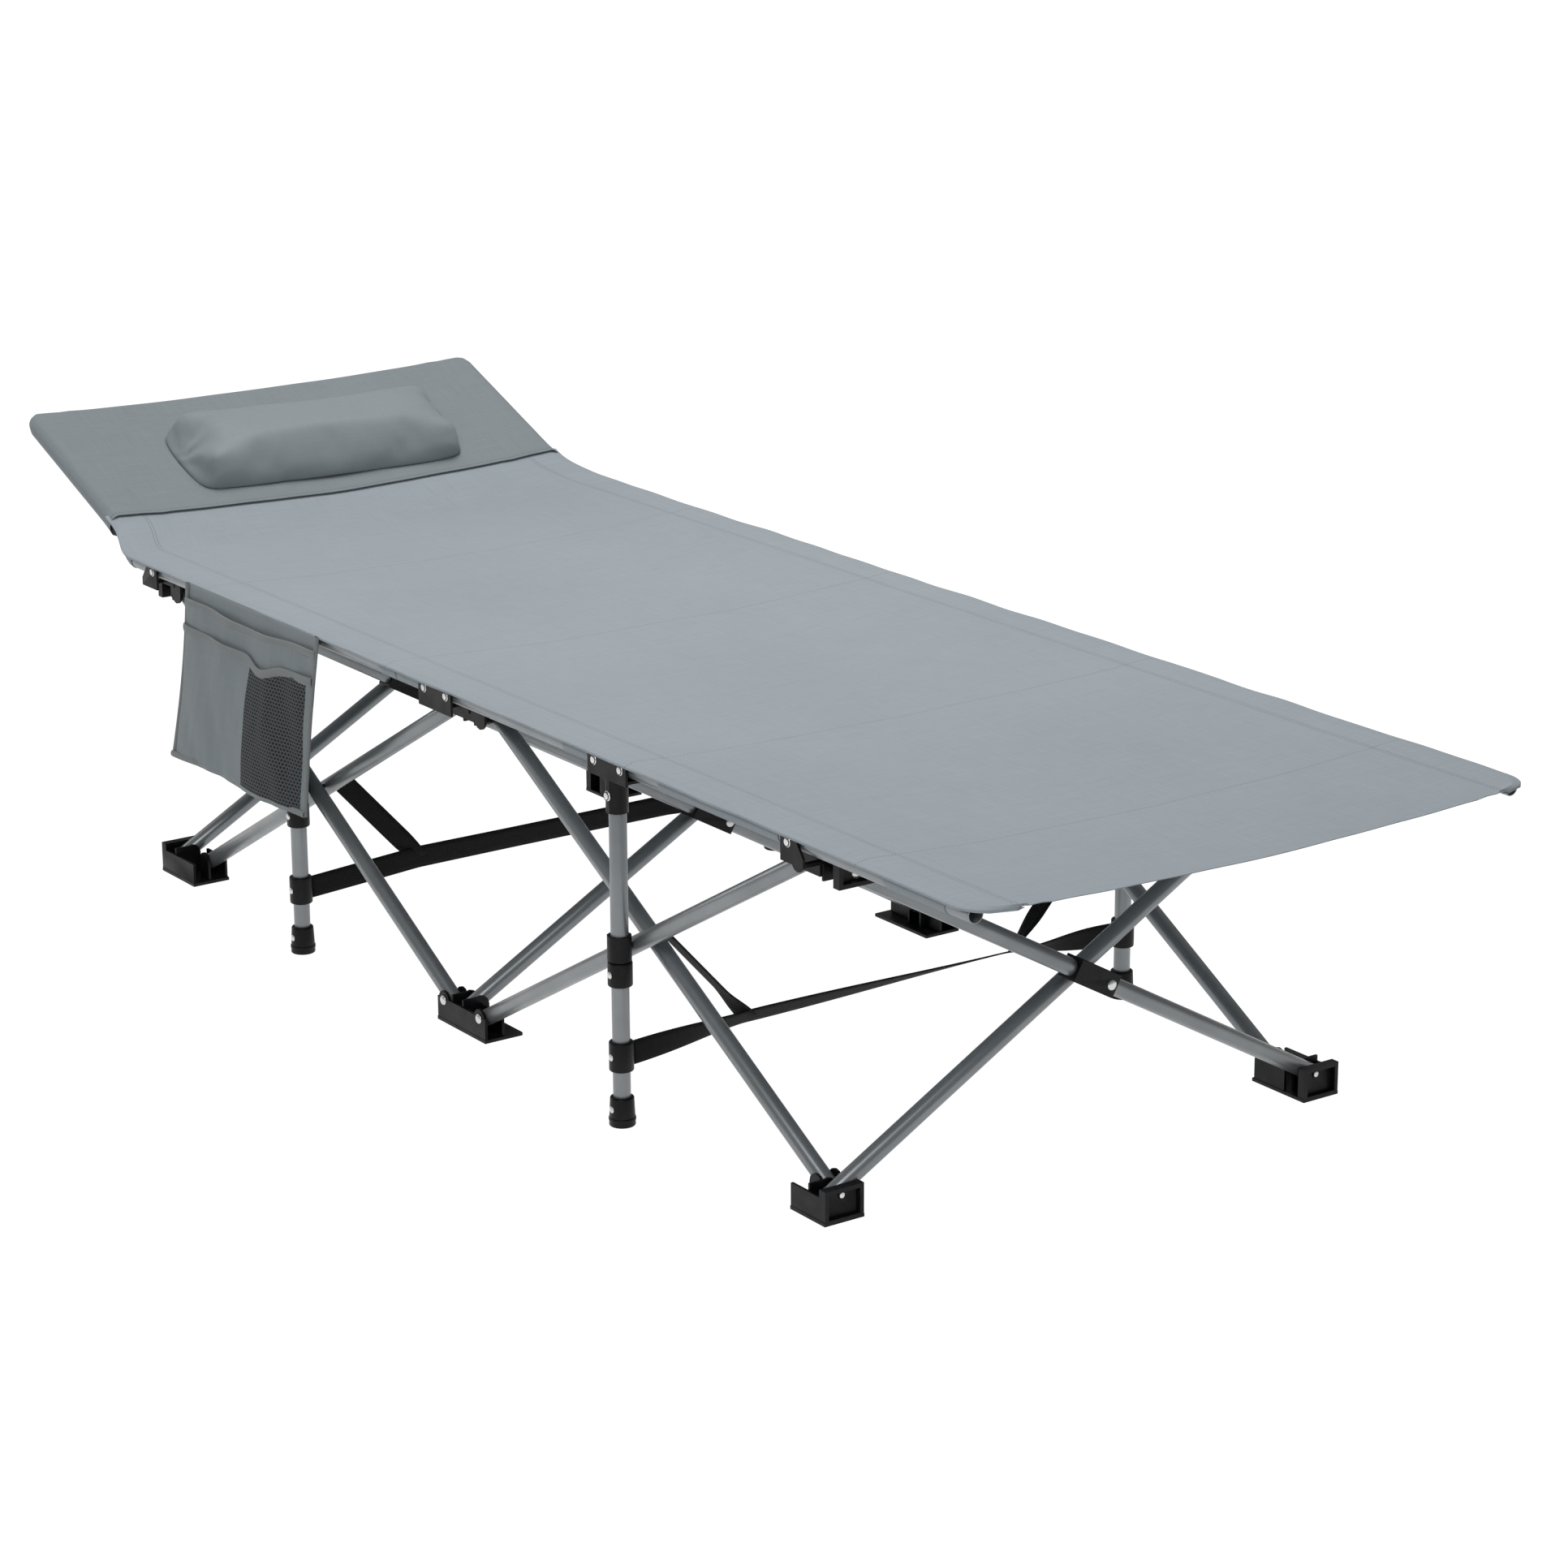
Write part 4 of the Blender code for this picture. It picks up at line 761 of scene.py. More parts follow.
print("sheet from", round(SHEET_HEAD_X, 3), "to", round(SHEET_FOOT_X, 3))

# %% [markdown]
# One helper lays any panel. It makes a grid, gives each of its rows a distance on the cloth,
# moves the points to the place of that distance and thickens the cloth. Neighbouring panels end
# on the same line with sharp cut ends, so that they meet without a visible edge.

# %% Lay one panel of the sheet
X_STEP = 0.009
TOP_ROWS = 42
TUCK = 0.016
LEAN_FROM = 0.2
HEM_STEPS = [FLAP * share for share in (0.2, 0.4, 0.6, 0.8, 1.0)]
HEM_STEPS += [FLAP + pi * HEM_R * share for share in (0.25, 0.5, 0.75, 1.0)]
HEM_STEPS += [FLAP + pi * HEM_R + HEM_BACK]
WRAP_STEPS = [pi * EDGE_R * step / 12 for step in range(1, 13)] + [pi * EDGE_R + TUCK]


def stops_between(start, stop, extra=()):
    """Evenly spaced places along the bed, with the extra ones among them."""
    marks = sorted({start, stop, *[mark for mark in extra if start < mark < stop]})
    places = []
    for low, high in zip(marks, marks[1:]):
        count = max(1, round((high - low) / X_STEP))
        places += [low + (high - low) * index / count for index in range(count)]
    return places + [stop]


def cloth_panel(name, places, steps, where, node, finish, stands=True):
    """A grid laid by the rule `where`, with its rows past the rails at the given steps."""
    form = bmesh.new()
    rows = TOP_ROWS + 2 * len(steps)
    half = TOP_ROWS // 2
    faces, verts = new_grid(form, len(places) - 1, rows)
    seat = {}
    for vert in verts:
        x = places[round((vert.co.x + 1) / 2 * (len(places) - 1))]
        row = round((vert.co.y + 1) / 2 * rows) - rows // 2
        flat = rail_y(x) - corner_inset(x)
        past = abs(row) - half
        reach = flat * row / half if past <= 0 else copysign(flat + steps[past - 1], row)
        seat[vert] = (x, reach)
        vert.co = where(x, reach)

    def straightened(vert):
        """Where the rail leans in, the hem's stitches follow it."""
        x, reach = seat[vert]
        return x, reach + copysign(toe_in(x), reach) if abs(reach) > LEAN_FROM else reach

    lay_map(form, faces, straightened)
    bmesh.ops.solidify(form, geom=form.faces[:], thickness=CLOTH)
    return put(name, form, node, [finish], stands, 60.0, recalculate=False)


print("rows across", TOP_ROWS, "hem steps", len(HEM_STEPS))

# %% [markdown]
# The main cloth is a pale blue-grey. The head panel is a separate, darker pocket that slips over
# the rails' ends, lies on the sheet and shows a dark line where its hem crosses the bed.

# %% The sheet's panels and the head pocket
POCKET_LIFT = 0.0024
HEM_LIFT = 0.0018
HEM_LIFT_LENGTH = 0.030
HEM_ROWS = (0.034, 0.038)
CROSS_ROWS = (-0.55, -0.11, 0.40, 0.82)
POCKET_ROW = CREASE_X - 0.006
POCKET_MARKS = [SHEET_HEAD_X + past for past in (0.002, 0.006, 0.012)]
PANELS = {
    "head": (CREASE_X - 0.012, -POST_X),
    "mid_head": (-POST_X, 0.0),
    "mid_foot": (0.0, POST_X),
    "foot": (POST_X, SHEET_FOOT_X),
}
hem_places = [side * (RAIL_Y - inset) for inset in HEM_ROWS for side in (-1, 1)]
sheet_cloth = woven("sheet_weave", (0.356, 0.402, 0.436), (0.286, 0.326, 0.356), hem_places,
                    CROSS_ROWS)
trim_cloth = woven("trim_weave", (0.246, 0.280, 0.299), (0.200, 0.231, 0.248), (), [POCKET_ROW],
                   weave=0.14, roughness=0.62, sheen=0.08)


def pocket_lift(x):
    """The pocket stands off the sheet a little more along its hem."""
    return POCKET_LIFT + HEM_LIFT * clamped(1 - (CREASE_X - x) / HEM_LIFT_LENGTH) ** 2


def pocket_place(x, reach):
    return pocket_point(x, reach, pocket_lift(x))


panels = {}
for name, (start, stop) in PANELS.items():
    panels[name] = cloth_panel("cloth_" + name, stops_between(start, stop), HEM_STEPS, cloth_point,
                               "sheet_" + name, sheet_cloth)
pocket = cloth_panel("head_pocket", stops_between(SHEET_HEAD_X, CREASE_X, POCKET_MARKS), WRAP_STEPS,
                     pocket_place, "sheet_head", trim_cloth, stands=False)
print("panels", {name: len(piece.data.polygons) for name, piece in panels.items()})

# %% [markdown]
# Sleeves of a like cloth hold the rails to the sheet. Each is a loop round one rail, a little
# wider than the rail and open at both ends, and it follows the rail's bend.

# %% Sleeves round the rails
SLEEVES = {
    "mid_head": ((-0.131, -0.094), (-0.092, -0.040)),
    "mid_foot": ((0.268, 0.322),),
    "foot": ((0.457, 0.679), (0.860, 0.960)),
    "head": ((-0.850, -0.765), (-0.560, -0.430)),
}
SLEEVE_R = RAIL_R + 0.0009
SLEEVE_WALL = 0.0008
sleeve_cloth = woven("sleeve_weave", (0.300, 0.341, 0.368), (0.262, 0.300, 0.326))

for side, sign in SIDES.items():
    for name, spans in SLEEVES.items():
        form = bmesh.new()
        for start, stop in spans:
            ring_tube(form, stop - start, SLEEVE_R, aimed((start, 0, 0), (1, 0, 0)), SLEEVE_WALL)
            cut_across(form, start, stop)
        swing_to_rail(form, sign)
        lay_map(form, form.faces, lambda vert: (vert.co.x, vert.co.z))
        put(f"sleeves_{side}_{name}", form, f"rail_{side}_{name}", [sleeve_cloth],
            stands=False, smooth=50.0)
print("sleeves", sum(len(spans) for spans in SLEEVES.values()) * 2)

# %% [markdown]
# The pillow is a long pouch sewn round and stuffed. Its crown, its round ends and the puckers
# along its seams all come from that, so it is made the same way: a plain pouch is blown up by
# the cloth simulation, no point further than a set distance, and then laid on the head panel.

# %% The pillow's pouch
PILLOW_LENGTH = 0.398
PILLOW_WIDTH = 0.146
PILLOW_HEIGHT = 0.114
PILLOW_Y = 0.014
PILLOW_FROM_HEM = 0.034
PILLOW_TURN = radians(-1.5)
POUCH_SIZE = (0.132, 0.388, 0.066)
POUCH_EDGE = 0.017
POUCH_VOXEL = 0.0050
BLOW_FRAMES = 14
BLOW_CAP = 0.011


def sewn_pouch():
    """A box with narrow rounded seams, remeshed into small even faces."""
    form = bmesh.new()
    bmesh.ops.create_cube(form, size=1.0)
    bmesh.ops.scale(form, verts=form.verts, vec=POUCH_SIZE)
    rounded(form, form.edges, POUCH_EDGE, 3)
    pouch = link_new("pouch", form)
    modify(pouch, "even faces", "REMESH", mode="VOXEL", voxel_size=POUCH_VOXEL)
    return pouch


def apply_modifiers(piece):
    """Give a piece the mesh that its modifiers make."""
    depsgraph = bpy.context.evaluated_depsgraph_get()
    mesh = bpy.data.meshes.new_from_object(piece.evaluated_get(depsgraph))
    piece.modifiers.clear()
    piece.data = mesh


def extent_of(mesh):
    ways = zip(*[vert.co for vert in mesh.vertices])
    return [max(way) - min(way) for way in ways]


pouch = sewn_pouch()
apply_modifiers(pouch)
before = [vert.co.copy() for vert in pouch.data.vertices]
print("pouch faces", len(pouch.data.polygons), [round(size, 4) for size in extent_of(pouch.data)])

# %% Blow it up
blow = modify(pouch, "blow up", "CLOTH")
set_all(blow.settings, quality=6, mass=0.25, tension_stiffness=14.0, compression_stiffness=14.0,
        shear_stiffness=6.0, bending_stiffness=0.35, use_pressure=True, uniform_pressure_force=3.0)
blow.settings.effector_weights.gravity = 0.0
set_all(blow.point_cache, frame_start=1, frame_end=BLOW_FRAMES)
for step in range(1, BLOW_FRAMES + 1):
    bpy.context.scene.frame_set(step)
apply_modifiers(pouch)
bpy.context.scene.frame_set(1)
for vert, start in zip(pouch.data.vertices, before):
    way = vert.co - start
    if way.length > BLOW_CAP:
        vert.co = start + way.normalized() * BLOW_CAP
extent = extent_of(pouch.data)
print("blown pouch", [round(size, 4) for size in extent])

# %% [markdown]
# The pillow is then brought to its real size, turned to the slope of the head panel and set down
# so that its underside takes the panel's form. Small puckers run in from the seams at both ends,
# where the real pouch is gathered.

# %% Lay the pillow on the head panel
PUCKER = 0.0044
PUCKERS = 9
PUCKER_REACH = 0.055
UNDERSIDE = 0.34
SINK = 0.015
END_SEAM = 0.007
SEAM_HEIGHT = 0.010
CREASE_DEPTH = 0.0016
SMOOTHING = 4
SEAT_GAP = 0.0006


def pillow_point(x, y, z):
    """A point of the plain pillow, moved by the puckers, the end seams and faint creases."""
    near_end = max(1 - (PILLOW_LENGTH / 2 - abs(y)) / PUCKER_REACH, 0.0)
    round_way = atan2(z, x) * PUCKERS / 2 + 1.3 * noise.noise(Vector((x * 12, z * 12, y)))
    size = PUCKER * near_end ** 1.5 * sin(round_way * 2)
    seam = exp(-((z / SEAM_HEIGHT) ** 2)) * min(near_end, 1.0) ** 2
    crease = CREASE_DEPTH * noise.noise(Vector((x * 16, y * 9, 2.0))) if z > 0 else 0.0
    moved = Vector((x, y, z)) + Vector((x, 0.0, z * 1.4)).normalized() * size
    return moved + Vector((0.0, (END_SEAM if y > 0 else -END_SEAM) * seam, crease))


form = bmesh.new()
form.from_mesh(pouch.data)
bpy.data.objects.remove(pouch, do_unlink=True)
target = (PILLOW_WIDTH, PILLOW_LENGTH, PILLOW_HEIGHT)
bmesh.ops.scale(form, verts=form.verts, vec=[want / have for want, have in zip(target, extent)])
for _ in range(SMOOTHING):
    bmesh.ops.smooth_vert(form, verts=form.verts, factor=0.5, use_axis_x=True, use_axis_y=True,
                          use_axis_z=True)
lay_map(form, form.faces, lambda vert: (vert.co.x, vert.co.y))
for vert in form.verts:
    if vert.co.z < 0:
        vert.co.z *= UNDERSIDE
    vert.co = pillow_point(*vert.co)
pillow_x = CREASE_X - (PILLOW_FROM_HEM + PILLOW_WIDTH / 2) * cos(HEADREST_SLOPE)
seat_z = surface_z(pillow_x) + POCKET_LIFT - dip(pillow_x, PILLOW_Y)
normal = Vector((sin(HEADREST_SLOPE), 0.0, cos(HEADREST_SLOPE)))
raised = normal * (PILLOW_HEIGHT / 2 * UNDERSIDE - SINK)
turn = Matrix.Rotation(HEADREST_SLOPE, 4, "Y") @ Matrix.Rotation(PILLOW_TURN, 4, "Z")
place = Matrix.Translation(Vector((pillow_x, PILLOW_Y, seat_z)) + raised) @ turn
bmesh.ops.transform(form, matrix=place, verts=form.verts)
for vert in form.verts:
    floor = pocket_place(min(vert.co.x, CREASE_X), vert.co.y)
    vert.co.z = max(vert.co.z, floor.z + SEAT_GAP)
pillow_cloth = woven("pillow_weave", (0.270, 0.307, 0.326), (0.236, 0.272, 0.291), weave=0.14,
                     roughness=0.55, sheen=0.06)
pillow = put("stuffed_pillow", form, "pillow", [pillow_cloth], smooth=180.0)
modify(pillow, "finer", "SUBSURF", levels=1, render_levels=1)
print("pillow faces", len(pillow.data.polygons))

# %% [markdown]
# From the near rail hangs a flat bag with two stacked pockets. Cloth that hangs from one edge
# swings out, bellies a little and waves along its free hems, so each layer is a grid pushed out
# by smooth waves. The lower pocket's front is cloth on one side and a dark net on the other, whose holes
# are painted near black as painted shade of the pocket's inside.

# %% The side bag's layers
bag_low, bag_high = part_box("side_bag")
BAG_X0 = bag_low.x - CENTRE.x
BAG_X1 = bag_high.x - CENTRE.x - 0.004
BAG_TOP_Z = bag_high.z
BAG_BOTTOM_Z = bag_low.z + 0.006
BAG_BACK_Y = FORK_FACE + 0.0015
BAG_FLARE = 0.028
BAG_SKIN = 0.0009
NET_FROM = -0.417
NET_TO = BAG_X1 - 0.014
NET_BORDER = 0.005
NET_CELL = 0.0060
NET_ROW = NET_CELL * 0.72
NET_DEPTH = 0.0006
UPPER_HEM_DOWN = 0.020
LOWER_HEM_DOWN = 0.053
BAG_WAVE = 0.0030
BAG_PINCH = 0.006
EDGE_DIP = 0.003
FLOOR_RIPPLE = 0.0012
HEM_RIPPLE = 0.0015
HEM_SAG = 0.010
WRINKLE = 0.0024
FINE_WRINKLE = 0.0010
bag_cloth = woven("bag_weave", (0.240, 0.276, 0.291), (0.202, 0.236, 0.251), weave=0.16,
                  roughness=0.66)
tape_cloth = woven("binding_tape", (0.246, 0.262, 0.264), (0.206, 0.221, 0.223), weave=0.4,
                   thread_step=0.0016, roughness=0.8)


def netting(name):
    """Rows of small holes painted near black as painted shade of the pocket's inside, between paler
    threads, each row half a cell on from the last.
    """
    finish, shader = new_finish(name, (0.06, 0.065, 0.07), 0.7, Specular_IOR_Level=0.30)
    _, along, across = cloth_map(finish)
    row = sums("DIVIDE", across, NET_ROW)
    odd = sums("MULTIPLY", sums("MODULO", sums("FLOOR", row), 2.0), 0.5)
    column = sums("ADD", sums("DIVIDE", along, NET_CELL), odd)
    offsets = [sums("SUBTRACT", sums("FRACT", way), 0.5) for way in (column, row)]
    squares = [sums("MULTIPLY", offset, offset) for offset in offsets]
    thread = spread(sums("SQRT", sums("ADD", *squares)), 0.30, 0.45)
    # The first colour is painted shade in the holes, near black; the second is the net's own dark
    # thread.
    dress(shader, mixed(thread, (0.003, 0.0033, 0.004), (0.084, 0.094, 0.103)), thread, 0.7, NET_DEPTH)
    return finish


def bag_share(x):
    """The share of the bag's length before x."""
    return (x - BAG_X0) / (BAG_X1 - BAG_X0)


def bag_point(x, z, out):
    """A place on the bag: out is its distance in front of the back panel."""
    down = (BAG_TOP_Z - z) / (BAG_TOP_Z - BAG_BOTTOM_Z)
    swing = BAG_FLARE * down ** 1.15
    wave = BAG_WAVE * sin(2 * pi * (bag_share(x) * 1.6 + 0.1)) * down
    pinch = BAG_PINCH * sin(pi * down) * (1 - 2 * bag_share(x))
    return Vector((x + pinch, -(BAG_BACK_Y + swing + wave + out), z))


def floor_line(x):
    """The bag's lower edge, a little wavy."""
    ripple = FLOOR_RIPPLE * sin(7 * bag_share(x))
    return BAG_BOTTOM_Z + EDGE_DIP * sin(pi * bag_share(x)) + ripple


def top_line(x):
    return BAG_TOP_Z


def upper_hem(x):
    wave = HEM_RIPPLE * sin(9 * bag_share(x)) - EDGE_DIP * sin(pi * bag_share(x))
    return BAG_TOP_Z - UPPER_HEM_DOWN + wave


def lower_hem(x):
    """The lower pocket's hem, which sags beside the net."""
    sag = HEM_SAG * max(0.0, 1 - ((bag_share(x) - 0.65) / 0.14) ** 2) ** 2
    return BAG_TOP_Z - LOWER_HEM_DOWN - EDGE_DIP * sin(pi * bag_share(x)) - sag


def belly(x, bulge):
    """How far a pocket bellies out at x, before its height counts."""
    return bulge * sin(pi * clamped(bag_share(x))) ** 0.6


def hem_wave(x, ripple):
    return ripple * (1 + sin(2 * pi * bag_share(x) * 3.2 + 0.7)) / 2


def bag_layer(form, z_top, bulge=0.0, ripple=0.0):
    """A grid over the bag's front, bulging out and with a waving upper hem."""
    faces, verts = new_grid(form, 56, 34)
    seat = {}
    for vert in verts:
        across, up = (vert.co.x + 1) / 2, (vert.co.y + 1) / 2
        x = BAG_X0 + (BAG_X1 - BAG_X0) * across
        z = floor_line(x) + (z_top(x) - floor_line(x)) * up
        seat[vert] = (x, z)
        out = belly(x, bulge) * (0.45 + 0.55 * sin(pi * (0.15 + 0.75 * up)))
        wrinkle = noise.noise(Vector((x * 26.0 + z * 12.0, z * 9.0, bulge * 100))) * WRINKLE
        wrinkle += noise.noise(Vector((x * 70.0, z * 16.0, 4.0))) * FINE_WRINKLE
        out += wrinkle * min(bulge * 200, 1.0) + hem_wave(x, ripple) * up ** 3
        vert.co = bag_point(x, z, out)
    for face in faces:
        x, z = [sum(seat[vert][way] for vert in face.verts) / 4 for way in (0, 1)]
        netted = NET_FROM < x < NET_TO and z > floor_line(x) + NET_BORDER
        face.material_index = 1 if netted and z_top is lower_hem else 0
    lay_map(form, faces, seat.get)


# Each pocket's hem, how far it bulges and ripples, and the width and thickness of its tape.
POCKETS = ((upper_hem, 0.0060, 0.003, 0.0100, 0.0030), (lower_hem, 0.0115, 0.004, 0.0115, 0.0034))
form = bmesh.new()
bag_layer(form, top_line)
for hem, bulge, ripple, _, _ in POCKETS:
    bag_layer(form, hem, bulge, ripple)
bag = put("bag_cloth", form, "side_bag", [bag_cloth, netting("dark_net_painted_shade")],
          smooth=70.0, recalculate=False)
modify(bag, "thickness", "SOLIDIFY", thickness=BAG_SKIN, offset=0.0)
print("bag from", round(BAG_X0, 3), "to", round(BAG_X1, 3))

# %% [markdown]
# A narrow beige-grey tape binds the pockets' hems and the bag's edges. A flat ring of points is
# swept along each edge: it is extruded from one place to the next.

# %% The binding
TAPE_SIDES = 12
TAPE_STEPS = 40
TAPE_DOWN = 0.003
TAPE_OUT = 0.0006
HEM_BELLY = 0.622
SIDE_INSET = 0.002
SIDE_OUT = 0.0015
FLOOR_OUT = 0.0030
# The width and thickness of the tape on the bag's sides and along its foot.
SIDE_TAPE = (0.0070, 0.0050)
FLOOR_TAPE = (0.0085, 0.0060)
OUTWARD = Vector((0.0, -1.0, 0.0))


def tape_along(form, points, width, thickness):
    """A narrow bound edge: a flat oval ring extruded along a line of points."""
    known = set(form.faces)
    ring = bmesh.ops.create_circle(form, segments=TAPE_SIDES, radius=1.0)["verts"]
    rest = [(vert.co.x * thickness / 2, vert.co.y * width / 2) for vert in ring]
    edges = list({edge for vert in ring for edge in vert.link_edges})
    for index, point in enumerate(points):
        if index:
            grown = bmesh.ops.extrude_edge_only(form, edges=edges)["geom"]
            fresh = set(of_kind(grown, bmesh.types.BMVert))
            ring = [next(edge.other_vert(vert) for edge in vert.link_edges
                         if edge.other_vert(vert) in fresh) for vert in ring]
            edges = [edge for edge in of_kind(grown, bmesh.types.BMEdge) if fresh.issuperset(edge.verts)]
        ahead = points[min(index + 1, len(points) - 1)] - points[max(index - 1, 0)]
        side = ahead.cross(OUTWARD).normalized()
        for vert, (out, aside) in zip(ring, rest):
            vert.co = point + OUTWARD * out + side * aside
    faces = [face for face in form.faces if face not in known]
    lay_map(form, faces, lambda vert: (vert.co.x, vert.co.z))


def evenly(start, stop):
    return [start + (stop - start) * step / TAPE_STEPS for step in range(TAPE_STEPS + 1)]


form = bmesh.new()
line = evenly(BAG_X0, BAG_X1)
for hem, bulge, ripple, width, thickness in POCKETS:
    tape_along(form, [bag_point(x, hem(x) - TAPE_DOWN, belly(x, bulge) * HEM_BELLY
                                + hem_wave(x, ripple) + TAPE_OUT) for x in line], width, thickness)
for x in (BAG_X0 + SIDE_INSET, BAG_X1 - SIDE_INSET):
    tape_along(form, [bag_point(x, z, SIDE_OUT) for z in evenly(BAG_TOP_Z, floor_line(x))], *SIDE_TAPE)
tape_along(form, [bag_point(x, floor_line(x) + TAPE_DOWN, FLOOR_OUT) for x in line], *FLOOR_TAPE)
tape = put("bag_binding", form, "side_bag", [tape_cloth], stands=False, smooth=50.0)
print("tape faces", len(tape.data.polygons))

# %% [markdown]
# Black webbing ties each pair of posts together, with a short branch up to the crossing of the
# tubes on each side. Webbing keeps its width and bends only across it, so it is modelled directly
# as flat bands. Each band also twists along its run, from upright towards level.

# %% Straps of webbing
STRAP_WIDTH = 0.030
STRAP_WAIST = 0.002
BRANCH_WIDTH = 0.026
STRAP_JOIN_Z = 0.092
STRAP = 0.0018
INNER_Y = OUTER_Y - 2 * TUBE_R - 0.0025
BRANCH_TOP = Vector((INNER_Y - TUBE_R - 0.0035, CROSSING_Z + 0.004))
STRAP_END_Y = RAIL_Y - COLLAR_R - 0.0005
RIB_STEP = 0.0026
PICK_STEP = 0.0017
JOIN_SHARE = 0.55
# Twists in degrees, at shares of the strap from one post to the other.
STRAP_TWIST = {
    "head": ((-1.0, 0.0), (0.0, 14.0), (1.0, 0.0)),
    "foot": ((-1.0, 0.0), (-0.55, 42.0), (0.55, 66.0), (1.0, 0.0)),
}
BRANCH_TWIST = {"head": (50.0, 4.0), "foot": (60.0, 88.0)}


def webbing_finish(name):
    finish, shader = new_finish(name, (0.004, 0.004, 0.005), 0.75, Specular_IOR_Level=0.2)
    _, along, across = cloth_map(finish)
    ribs = threads(across, RIB_STEP)
    weave = sums("MULTIPLY", ribs, threads(along, PICK_STEP))
    colour = mixed(spread(weave, -1.0, 1.0), (0.003, 0.003, 0.004), (0.009, 0.009, 0.010))
    dress(shader, colour, sums("ADD", weave, ribs), 0.5, WEAVE_HEIGHT)
    return finish


def between(table, share):
    """The value of a short table at a share, eased between its entries."""
    for (low, first), (high, second) in zip(table, table[1:]):
        if share <= high:
            return first + (second - first) * eased(clamped((share - low) / (high - low)))
    return table[-1][1]


def ribbon(form, x, line, width, twist, steps):
    """A flat band along a line in the plane at x. Its width turns from upright towards X."""
    faces, verts = new_grid(form, steps, 4)
    level = Vector((1.0, 0.0, 0.0))
    seat = {}
    for vert in verts:
        share, side = vert.co.x, vert.co.y / 2
        place, ahead = line(share), line(share + 0.01) - line(share - 0.01)
        turn = radians(between(twist, share))
        upright = level.cross(Vector((0.0, ahead.x, ahead.y)).normalized())
        across = upright * cos(turn) + level * sin(turn)
        seat[vert] = (place.x, side * width(share))
        vert.co = Vector((x, place.x, place.y)) + across * side * width(share)
    lay_map(form, faces, seat.get)


def main_line(share):
    """The strap between its two posts, which dips from the collars' height to the joins."""
    past = max(abs(share) - JOIN_SHARE, 0.0) / (1 - JOIN_SHARE)
    return Vector((share * STRAP_END_Y, STRAP_JOIN_Z + (STRAP_COLLAR_Z - STRAP_JOIN_Z) * past))


webbing = webbing_finish("black_webbing")
for end, way in ENDS.items():
    x = way * POST_X
    form = bmesh.new()
    ribbon(form, x, main_line, lambda share: STRAP_WIDTH - STRAP_WAIST * abs(share),
           STRAP_TWIST[end], 96)
    at_join, at_top = BRANCH_TWIST[end]
    for side in (-1, 1):
        join = main_line(side * JOIN_SHARE)
        top = Vector((side * BRANCH_TOP.x, BRANCH_TOP.y))
        ribbon(form, x, lambda share: join + (top - join) * (share + 1) / 2,
               lambda share: BRANCH_WIDTH,
               ((-1.0, at_join * side), (-0.3, at_top * side), (1.0, at_top * side)), 24)
    strap = put("webbing_strap_" + end, form, "strap_" + end, [webbing], smooth=60.0,
                recalculate=False)
    modify(strap, "thickness", "SOLIDIFY", thickness=STRAP, offset=0.0)
    panels["strap_" + end] = strap
print("straps at", round(POST_X, 3))

# %% [markdown]
# When the bed folds, the far rails come to the near ones and the cloth between them gathers. Each
# soft piece is listed with a clearance and a keep value and gets a mesh of its own. The pocket and
# the pillow lie higher, so they are listed with a clearance from the near rail.

# %% The soft pieces get meshes of their own
KEEP = 0.213
POCKET_CLEAR = 0.015
POCKET_KEEP = 0.175
PILLOW_CLEAR = 0.010
PILLOW_KEEP = 0.17
gathered = [(piece, 0.0, KEEP) for piece in panels.values()]
gathered += [(pocket, POCKET_CLEAR, POCKET_KEEP), (pillow, PILLOW_CLEAR, PILLOW_KEEP)]
for piece, clear, keep in gathered:
    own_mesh(piece)

# %% [markdown]
# The photograph shows the bed on white with soft light from above and hardly any shadow. A pale
# floor and a world that is white to the camera give that background, and wide soft lamps light
# the bed at a plain level.

# %% Floor, light and camera
FLOOR_SIZE = 30.0
FLOOR_DROP = 0.0005
FLOOR_GLOW = 1.16
GLOW_SHARE = 0.86
ROOM_LEVEL = 0.25
WHITE = (1.0, 1.0, 1.0, 1.0)
LAMP_TARGET = Vector((0.0, 0.0, 0.3))


def white_stage(name):
    """A pale floor that looks white to the camera and in reflections."""
    finish, shader = new_finish(name, (0.90, 0.90, 0.90), 0.9, Specular_IOR_Level=0.0)
    tree = finish.node_tree
    rays = add(tree, "ShaderNodeLightPath").outputs
    seen = sums("MAXIMUM", rays["Is Camera Ray"],
                sums("MAXIMUM", rays["Is Glossy Ray"], rays["Is Transmission Ray"]))
    glow = add(tree, "ShaderNodeEmission", {"Color": WHITE, "Strength": FLOOR_GLOW})
    blend = add(tree, "ShaderNodeMixShader", {0: sums("MULTIPLY", seen, GLOW_SHARE),
                                              1: shader.outputs[0], 2: glow.outputs[0]})
    wire(blend.outputs[0], tree.nodes["Material Output"].inputs["Surface"])
    return finish


form = bmesh.new()
bmesh.ops.create_grid(form, x_segments=1, y_segments=1, size=FLOOR_SIZE)
bmesh.ops.translate(form, verts=form.verts, vec=(0, 0, -FLOOR_DROP))
floor_piece = link_new("floor", form)
floor_piece.data.materials.append(white_stage("pale_floor"))

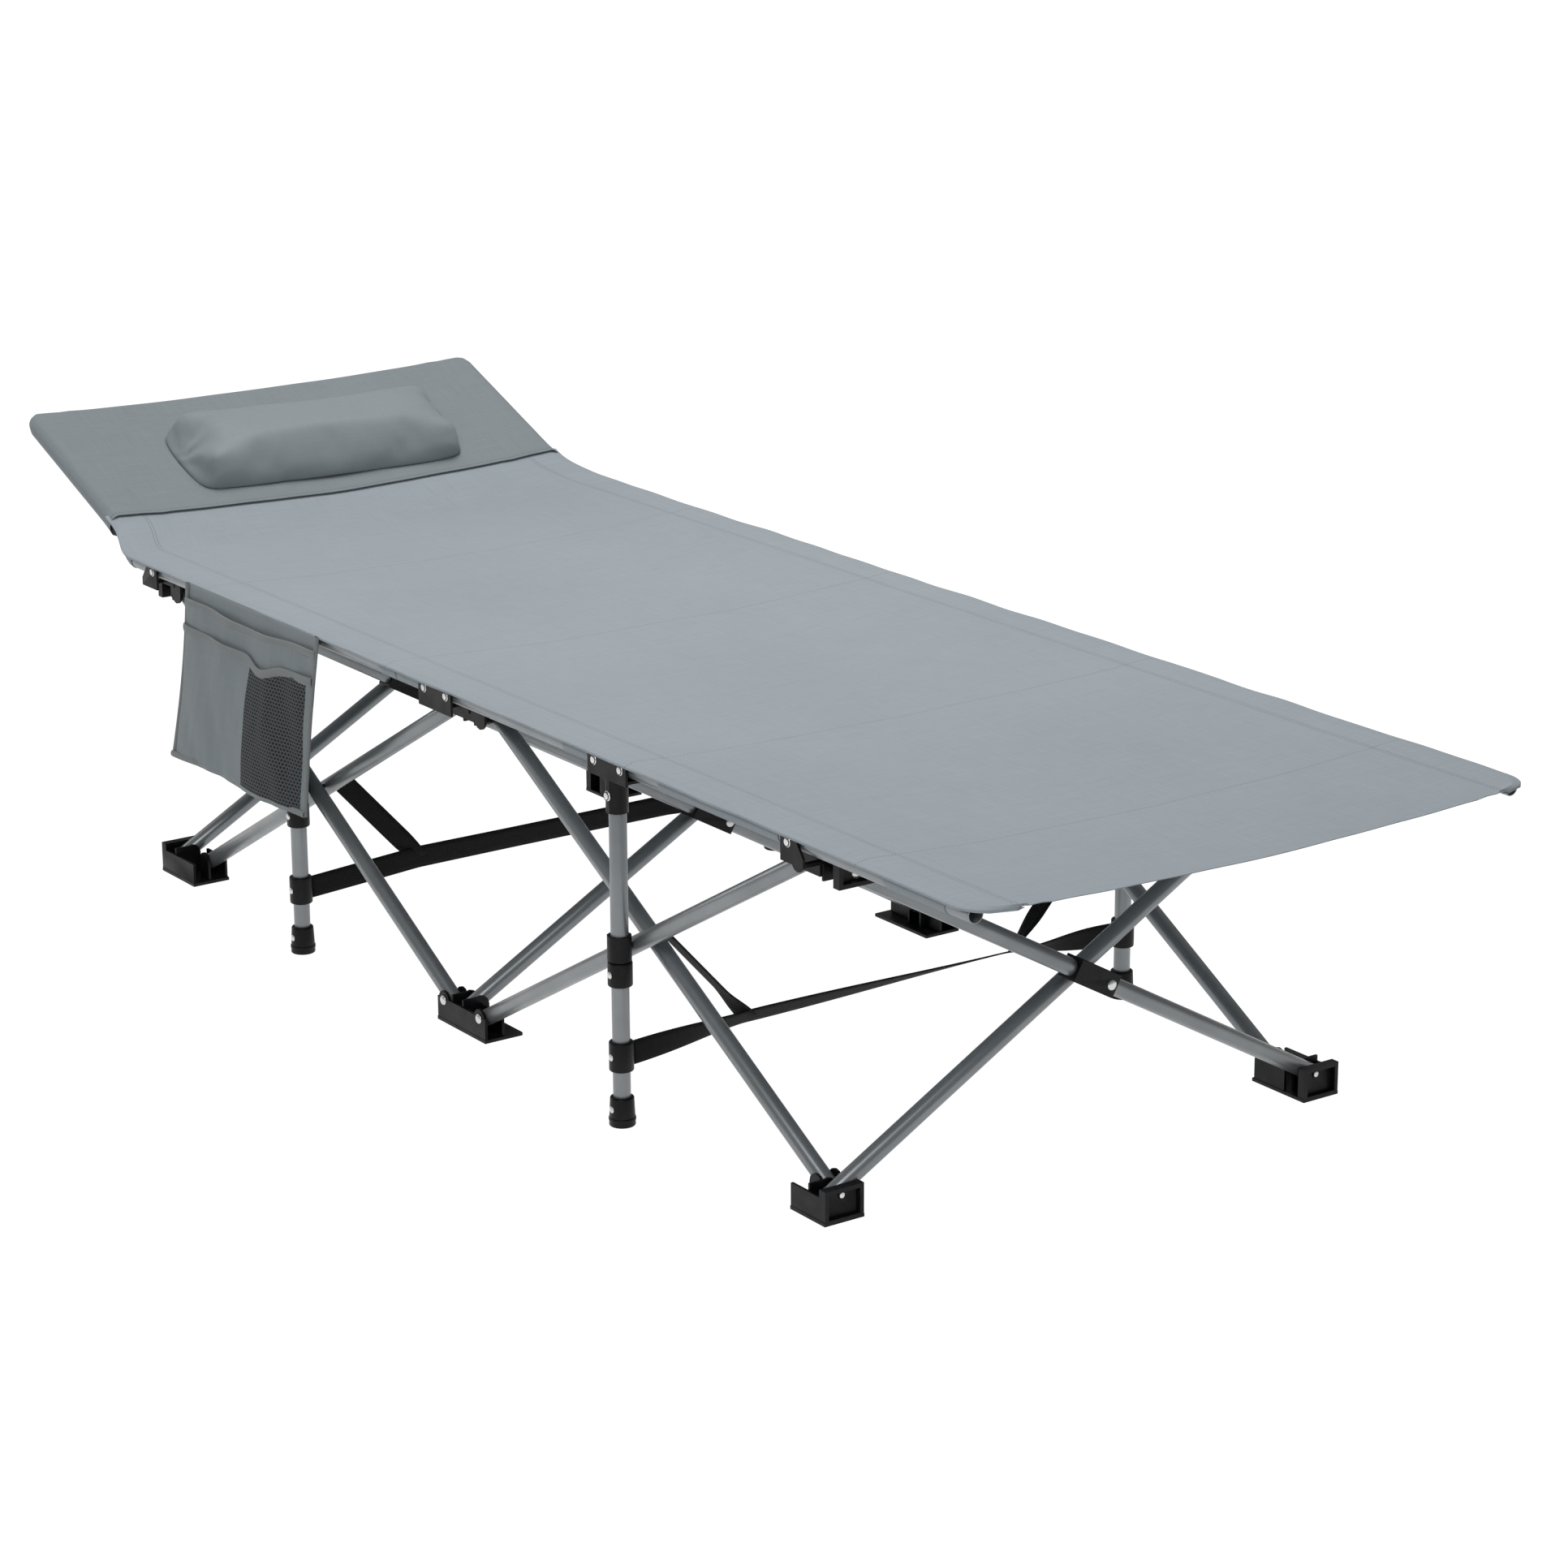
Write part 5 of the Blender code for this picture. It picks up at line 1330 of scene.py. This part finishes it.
world = bpy.data.worlds.new("pale_room")
bpy.context.scene.world = world
world.use_nodes = True
sky = world.node_tree.nodes["Background"]
seen = add(world.node_tree, "ShaderNodeLightPath").outputs["Is Camera Ray"]
wire(spread(seen, 0.0, 1.0, ROOM_LEVEL, 1.0), sky.inputs["Strength"])
sky.inputs["Color"].default_value = WHITE


def soft_lamp(name, place, size, power):
    """A wide lamp that looks at the bed's middle."""
    lamp = bpy.data.objects.new(name, bpy.data.lights.new(name, "AREA"))
    set_all(lamp.data, shape="SQUARE", size=size, energy=power)
    bpy.context.collection.objects.link(lamp)
    lamp.location = place
    lamp.rotation_euler = (LAMP_TARGET - Vector(place)).to_track_quat("-Z", "Y").to_euler()


soft_lamp("overhead", (-0.4, 0.4, 3.2), 1.8, 60.0)
soft_lamp("front", (2.4, -2.6, 2.6), 1.2, 34.0)
soft_lamp("head_end", (-3.0, -1.8, 1.6), 1.2, 15.0)
print("lamps", len(bpy.data.lights))

# %% [markdown]
# The camera's place was fitted to the photograph: the feet, the pins, the posts and the corners
# of the sheet fall close to where they should, seen from the near side past the bed's foot.

# %% The camera
CAMERA_PLACE = Vector((4.096, -2.779, 1.748))
AZIMUTH = radians(-54.59)
ELEVATION = radians(17.11)
ROLL = radians(-0.17)
FOCAL_PIXELS = 5269.3
PHOTO_PIXELS = 1932
SHIFT_PIXELS = (11.9, 17.3)
SENSOR = 36.0

lens = bpy.data.cameras.new("camera")
set_all(lens, sensor_width=SENSOR, lens=FOCAL_PIXELS * SENSOR / PHOTO_PIXELS,
        shift_x=-SHIFT_PIXELS[0] / PHOTO_PIXELS, shift_y=SHIFT_PIXELS[1] / PHOTO_PIXELS)
camera = bpy.data.objects.new("camera", lens)
bpy.context.collection.objects.link(camera)
camera.matrix_world = Matrix.Translation(CAMERA_PLACE + CENTRE)
for angle, axis in ((-AZIMUTH, "Z"), (pi / 2 - ELEVATION, "X"), (ROLL, "Z")):
    camera.matrix_world = camera.matrix_world @ Matrix.Rotation(angle, 4, axis)
bpy.context.scene.camera = camera
bpy.context.scene.view_settings.view_transform = "Standard"
print("lens", round(lens.lens, 2))
